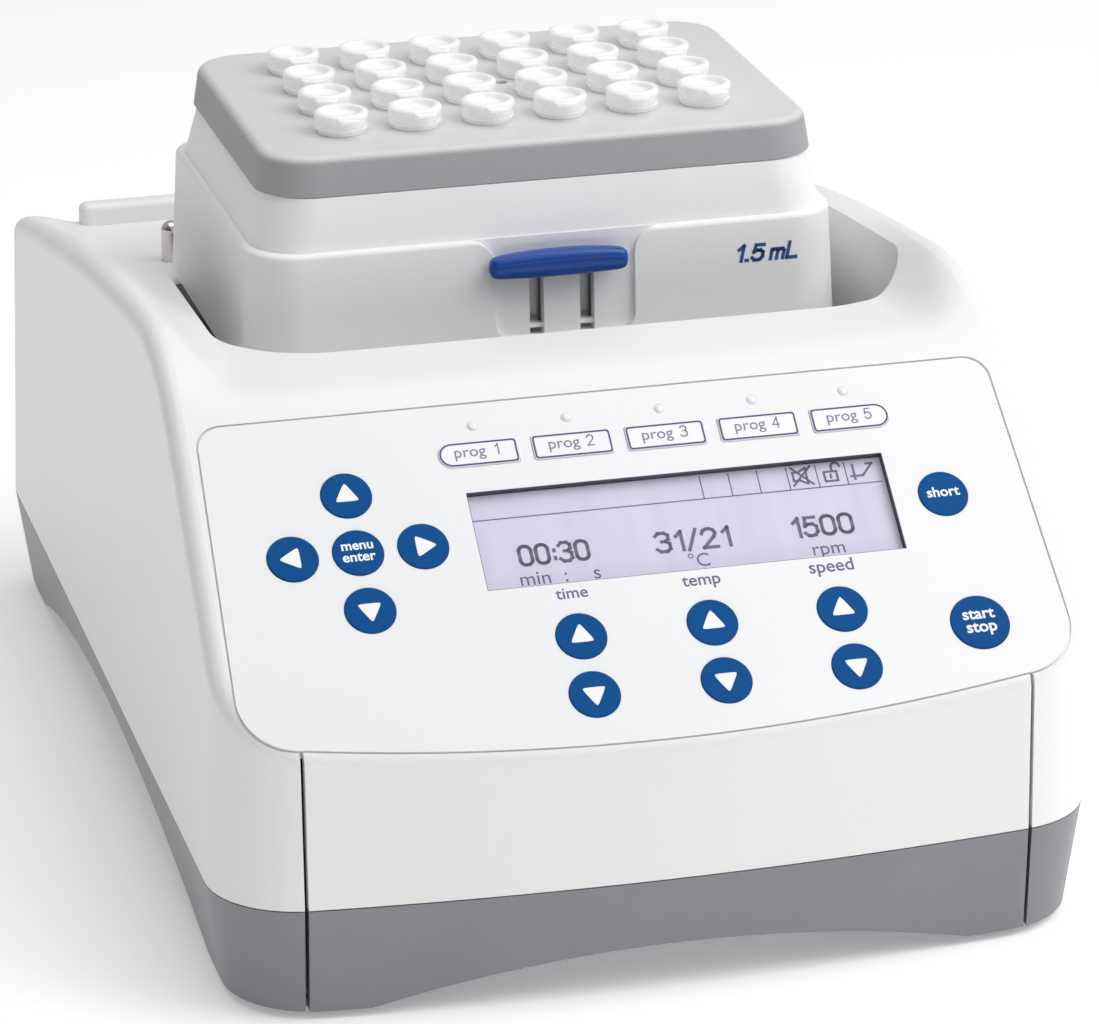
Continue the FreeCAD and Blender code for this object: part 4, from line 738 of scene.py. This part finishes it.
def stroke_word(text, width, height, line, gap=0.24, slant=0.0):
    """A word of stroke characters: width and height in mm, centred on u = 0 above v = 0."""
    paths = []
    pen = 0.0
    for character in text:
        letter = [np.asarray(path, float) for path in CHARACTERS[character]]
        if character != " ":
            paths += [path + (pen, 0) for path in letter]
        pen += max(path[:, 0].max() for path in letter) + gap
    spread = pen - gap
    scaled = [(path - (spread / 2, 0)) * (width / spread, height) for path in paths]
    leaning = [path + np.column_stack([slant * path[:, 1], 0 * path[:, 1]]) for path in scaled]
    return strokes(leaning, line)


print(len(CHARACTERS), "stroke characters")

# %% Figures on the display
FIGURE_TALL = 4.8
FIGURE_LINE = 0.84
NUMBERS = (("time", "00:30", 15.9, -18.3, 40.6), ("heat", "31/21", 17.2, 14.2, 40.4),
           ("speed", "1500", 14.2, 45.0, 40.7))
for name, text, width, u, v in NUMBERS:
    points, faces = stroke_word(text, width, FIGURE_TALL, FIGURE_LINE)
    make_piece(f"figure_{name}", from_panel(points + (u + SHIFT[0], v + SHIFT[1], FIGURE_H)), faces,
               "ink_crystal", "housing")
DIGIT_TALL = 2.7
DIGIT_LINE = 0.3
UNITS = (("minutes", "min  :    s", 18.6, -18.0, 35.3), ("degrees", "°C", 4.9, 14.6, 35.7),
         ("turns", "rpm", 7.6, 45.2, 35.5))
for name, text, width, u, v in UNITS:
    panel_word(f"unit_{name}", text, width, u + SHIFT[0], v + SHIFT[1], FIGURE_H, "ink_crystal", "housing",
               "display_lavender", thick=0.03)
for number in PROG_KEYS:
    u, v = key_centre(f"key_prog_{number}")
    digit_width = 1.5 if number > 1 else 0.8
    points, faces = stroke_word(f"{number}", digit_width, DIGIT_TALL, DIGIT_LINE)
    make_piece(f"digit_prog_{number}", from_panel(points + (u + 4.3, v - 0.75, KEY_TOP + PRINT_LIFT)), faces,
               "ink_fine", f"button_prog_{number}")
print(len(NUMBERS), "numbers and", len(UNITS), "units")

# %% [markdown]
# ## The size mark on the block
# The front of the block says which tubes it takes. The housing leans back a little towards its top,
# so the word is laid on that lean.

# %% Size mark
MARK_PLACE = (59.1, -19.04, 127.0)
HOUSING_LEAN = math.atan2(1.5, 32.6)
points, faces = stroke_word("1.5 mL", 15.2, 3.7, 0.86, slant=0.22)
mark = points[:, [0, 2, 1]] * (1, -1, 1)
mark[:, 1] += mark[:, 2] * math.sin(HOUSING_LEAN)
mark += MARK_PLACE
make_piece("block_size_mark", mark, faces, "ink_block", "block")
print("size mark leans", round(math.degrees(HOUSING_LEAN), 1), "degrees")

# %% [markdown]
# ## Turned and soft-cornered shapes
# Two surfaces serve many small parts. A lathe carries a profile of (radius, height) round an axis.
# A superellipsoid is a block with soft corners.

# %% Lathe and soft block
def band_faces(rows, columns):
    """Four-cornered faces between neighbouring rows of points that close round their columns."""
    row = np.arange(rows - 1)[:, None] * columns
    here = np.arange(columns)
    after = (here + 1) % columns
    return np.stack([row + here, row + after, row + after + columns, row + here + columns],
                    axis=2).reshape(-1, 4)


def lathe(profile, count=36):
    """x = r cos t, y = r sin t, z = z for every profile point and every angle t."""
    radius, height = np.asarray(profile, float).T
    t = np.linspace(0, 2 * np.pi, count, endpoint=False)
    points = np.stack([radius[:, None] * np.cos(t), radius[:, None] * np.sin(t),
                       np.repeat(height[:, None], count, axis=1)], axis=2).reshape(-1, 3)
    return points, band_faces(len(radius), count)


def soft_block(centre, half, power=0.4, rows=10, columns=20):
    """A superellipsoid: each of cos and sin is raised to a small power, which fills the corners."""
    a = np.linspace(-np.pi / 2, np.pi / 2, rows)[:, None]
    b = np.linspace(0, 2 * np.pi, columns, endpoint=False)[None]

    def filled(value):
        return np.sign(value) * np.abs(value) ** power

    x = filled(np.cos(a)) * filled(np.cos(b))
    y = filled(np.cos(a)) * filled(np.sin(b))
    z = filled(np.sin(a)) * np.ones_like(b)
    points = np.stack([x, y, z], axis=2).reshape(-1, 3) * half + centre
    return points, band_faces(rows, columns)


print("band_faces, lathe and soft_block ready")

# %% [markdown]
# ## The release bar
# The blue bar is a glossy grip, thicker in the middle than at its ends, with a soft crease along its
# front. It is one surface of two parameters: t runs along the bar and a runs round its section. The
# section swells with 1 - t^2, and closes at both ends like the end of a rounded bar. Its back leans
# forwards with t^2, so the left end clears the housing's cheek all the way down.

# %% Release bar
bar_low, bar_high = (np.array(corner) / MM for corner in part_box("release_grip"))
bar_t = np.sin(np.linspace(-np.pi / 2, np.pi / 2, 60))[:, None]
bar_a = np.linspace(0, 2 * np.pi, 48, endpoint=False)[None]
end_round = (1.0 - np.abs(bar_t) ** 26) ** 0.5
half_tall = (3.42 - 0.85 * bar_t ** 2) * end_round
half_deep = (2.75 - 0.65 * bar_t ** 2) * end_round
SECTION_POWER = 0.72
section_y = np.sign(np.cos(bar_a)) * np.abs(np.cos(bar_a)) ** SECTION_POWER
section_z = np.sign(np.sin(bar_a)) * np.abs(np.sin(bar_a)) ** SECTION_POWER
crease = 0.10 * np.exp(-(section_z / 0.16) ** 2) * (section_y < 0)
bar_x = (bar_low[0] + bar_high[0]) / 2 + bar_t * (bar_high[0] - bar_low[0]) / 2 + 0 * bar_a
bar_y = -21.5 - 0.32 * bar_t ** 2 + half_deep * (section_y + crease)
bar_z = 131.8 - 0.3 * bar_t ** 2 + half_tall * section_z
grip = make_piece("release_bar", np.stack([bar_x, bar_y, bar_z], axis=2).reshape(-1, 3),
                  band_faces(bar_t.size, bar_a.size), "grip_blue", "latch", smooth=True)
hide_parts("release_grip")
print("bar", np.round(bar_high - bar_low, 1), "mm")

# %% [markdown]
# Two necks carry the bar through upright slots in the housing. The slots end behind the bar, so a
# square block closes each of them above its neck; the necks have room to slide down below it.

# %% Necks and slot heads
SLOTS = {"left": 2.1, "right": 14.65}
NECK_MIDDLE = 130.7
NECK_HALF = (1.45, 2.9, 1.2)
SLOT_CLOSED_FROM = 132.2
SLOT_TOP = 135.5
head_middle = (SLOT_CLOSED_FROM + SLOT_TOP) / 2
HEAD_HALF = (1.83, 0.95, SLOT_TOP - head_middle)
for side, x in SLOTS.items():
    points, faces = soft_block((x, -16.5, NECK_MIDDLE), NECK_HALF, power=0.3)
    make_piece(f"release_neck_{side}", points, faces, "grip_blue", "latch", smooth=True)
    points, faces = soft_block((x, -16.3, head_middle), HEAD_HALF, power=0.06)
    make_piece(f"slot_head_{side}", points, faces, "block_white", "block")
print(len(SLOTS), "necks, slots closed from", SLOT_CLOSED_FROM, "to", SLOT_TOP, "mm")

# %% [markdown]
# ## Tube lids
# A snap lid is a turned shape: a dished top inside a raised rim, a skirt that narrows towards the
# tube, and a hollow plug. Its profile is a list of (radius, height) points carried round the axis.
# A thumb tab and a hinge strap, both soft-cornered blocks, break the symmetry. Twenty-four copies
# are placed at once by adding the array of tube centres, each turned by a few degrees as hands
# leave them.


# %% One lid
LID_PROFILE = [(0, 3.75), (2.2, 3.78), (3.9, 3.9), (4.35, 4.2), (4.6, 4.9), (5.0, 5.25), (5.7, 5.28),
               (6.3, 5.1), (6.55, 4.6), (6.5, 3.9), (6.25, 3.0), (5.98, 2.2), (5.85, 1.75), (5.6, 1.62),
               (4.6, 1.58), (4.36, 1.3), (4.33, -1.2), (4.15, -1.55), (3.75, -1.6), (3.55, -1.3),
               (3.5, 2.6), (3.2, 2.95), (0, 3.0)]
lid_points, lid_faces = lathe(LID_PROFILE)
THUMB_TAB = ((0.0, -7.3, 4.4), (2.7, 1.7, 0.55))
HINGE_STRAP = ((0.0, 7.1, 3.3), (2.0, 1.3, 0.45))
for centre, half in (THUMB_TAB, HINGE_STRAP):
    extra_points, extra_faces = soft_block(centre, half)
    lid_faces = np.vstack([lid_faces, extra_faces + len(lid_points)])
    lid_points = np.vstack([lid_points, extra_points])
print(len(lid_faces), "faces in one lid")

# %% Place the lids
BLOCK_MIDDLE = (5.66, 34.76)
TUBE_PITCH = (18.1, 18.7)
grid_x = BLOCK_MIDDLE[0] + (np.arange(6) - 2.5) * TUBE_PITCH[0]
grid_y = BLOCK_MIDDLE[1] + (np.arange(4) - 1.5) * TUBE_PITCH[1]
centres = np.stack(np.meshgrid(grid_x, grid_y), axis=2).reshape(-1, 2)
YAW_SPREAD = 9.0
yaw = np.radians(np.random.default_rng(7).uniform(-YAW_SPREAD, YAW_SPREAD, len(centres)))
cos, sin = np.cos(yaw)[:, None], np.sin(yaw)[:, None]
all_x = centres[:, :1] + lid_points[:, 0] * cos - lid_points[:, 1] * sin
all_y = centres[:, 1:] + lid_points[:, 0] * sin + lid_points[:, 1] * cos
all_z = np.repeat(lid_points[None, :, 2], len(centres), axis=0) + cover_high.z / MM
first_point = len(lid_points) * np.arange(len(centres))[:, None, None]
lids = make_piece("tube_lid_set", np.stack([all_x, all_y, all_z], axis=2).reshape(-1, 3),
                  (lid_faces[None] + first_point).reshape(-1, 4), "tube_frosted", "tubes",
                  smooth=True)
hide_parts("tube_lids")
print(len(centres), "lids")

# %% [markdown]
# ## Floor
# The floor is a wide sheet with a faint paper grain. It rides on no body, so it is not part of the object.

# %% Floor sheet
moulded("floor_paper", (0.95, 0.95, 0.95), (0.98, 0.98, 0.98), 0.85, 3.0, 0.02, drift_mm=300.0,
        Emission_Color=(1.0, 1.0, 1.0, 1.0), Emission_Strength=0.26)
FLOOR_HALF = 20.0
floor_mesh = bpy.data.meshes.new("floor")
floor_mesh.from_pydata([(-FLOOR_HALF, -FLOOR_HALF, 0), (FLOOR_HALF, -FLOOR_HALF, 0),
                        (FLOOR_HALF, FLOOR_HALF, 0), (-FLOOR_HALF, FLOOR_HALF, 0)], [], [(0, 1, 2, 3)])
floor_mesh.materials.append(FINISHES["floor_paper"])
floor = bpy.data.objects.new("floor", floor_mesh)
scene.collection.objects.link(floor)
print("floor laid")
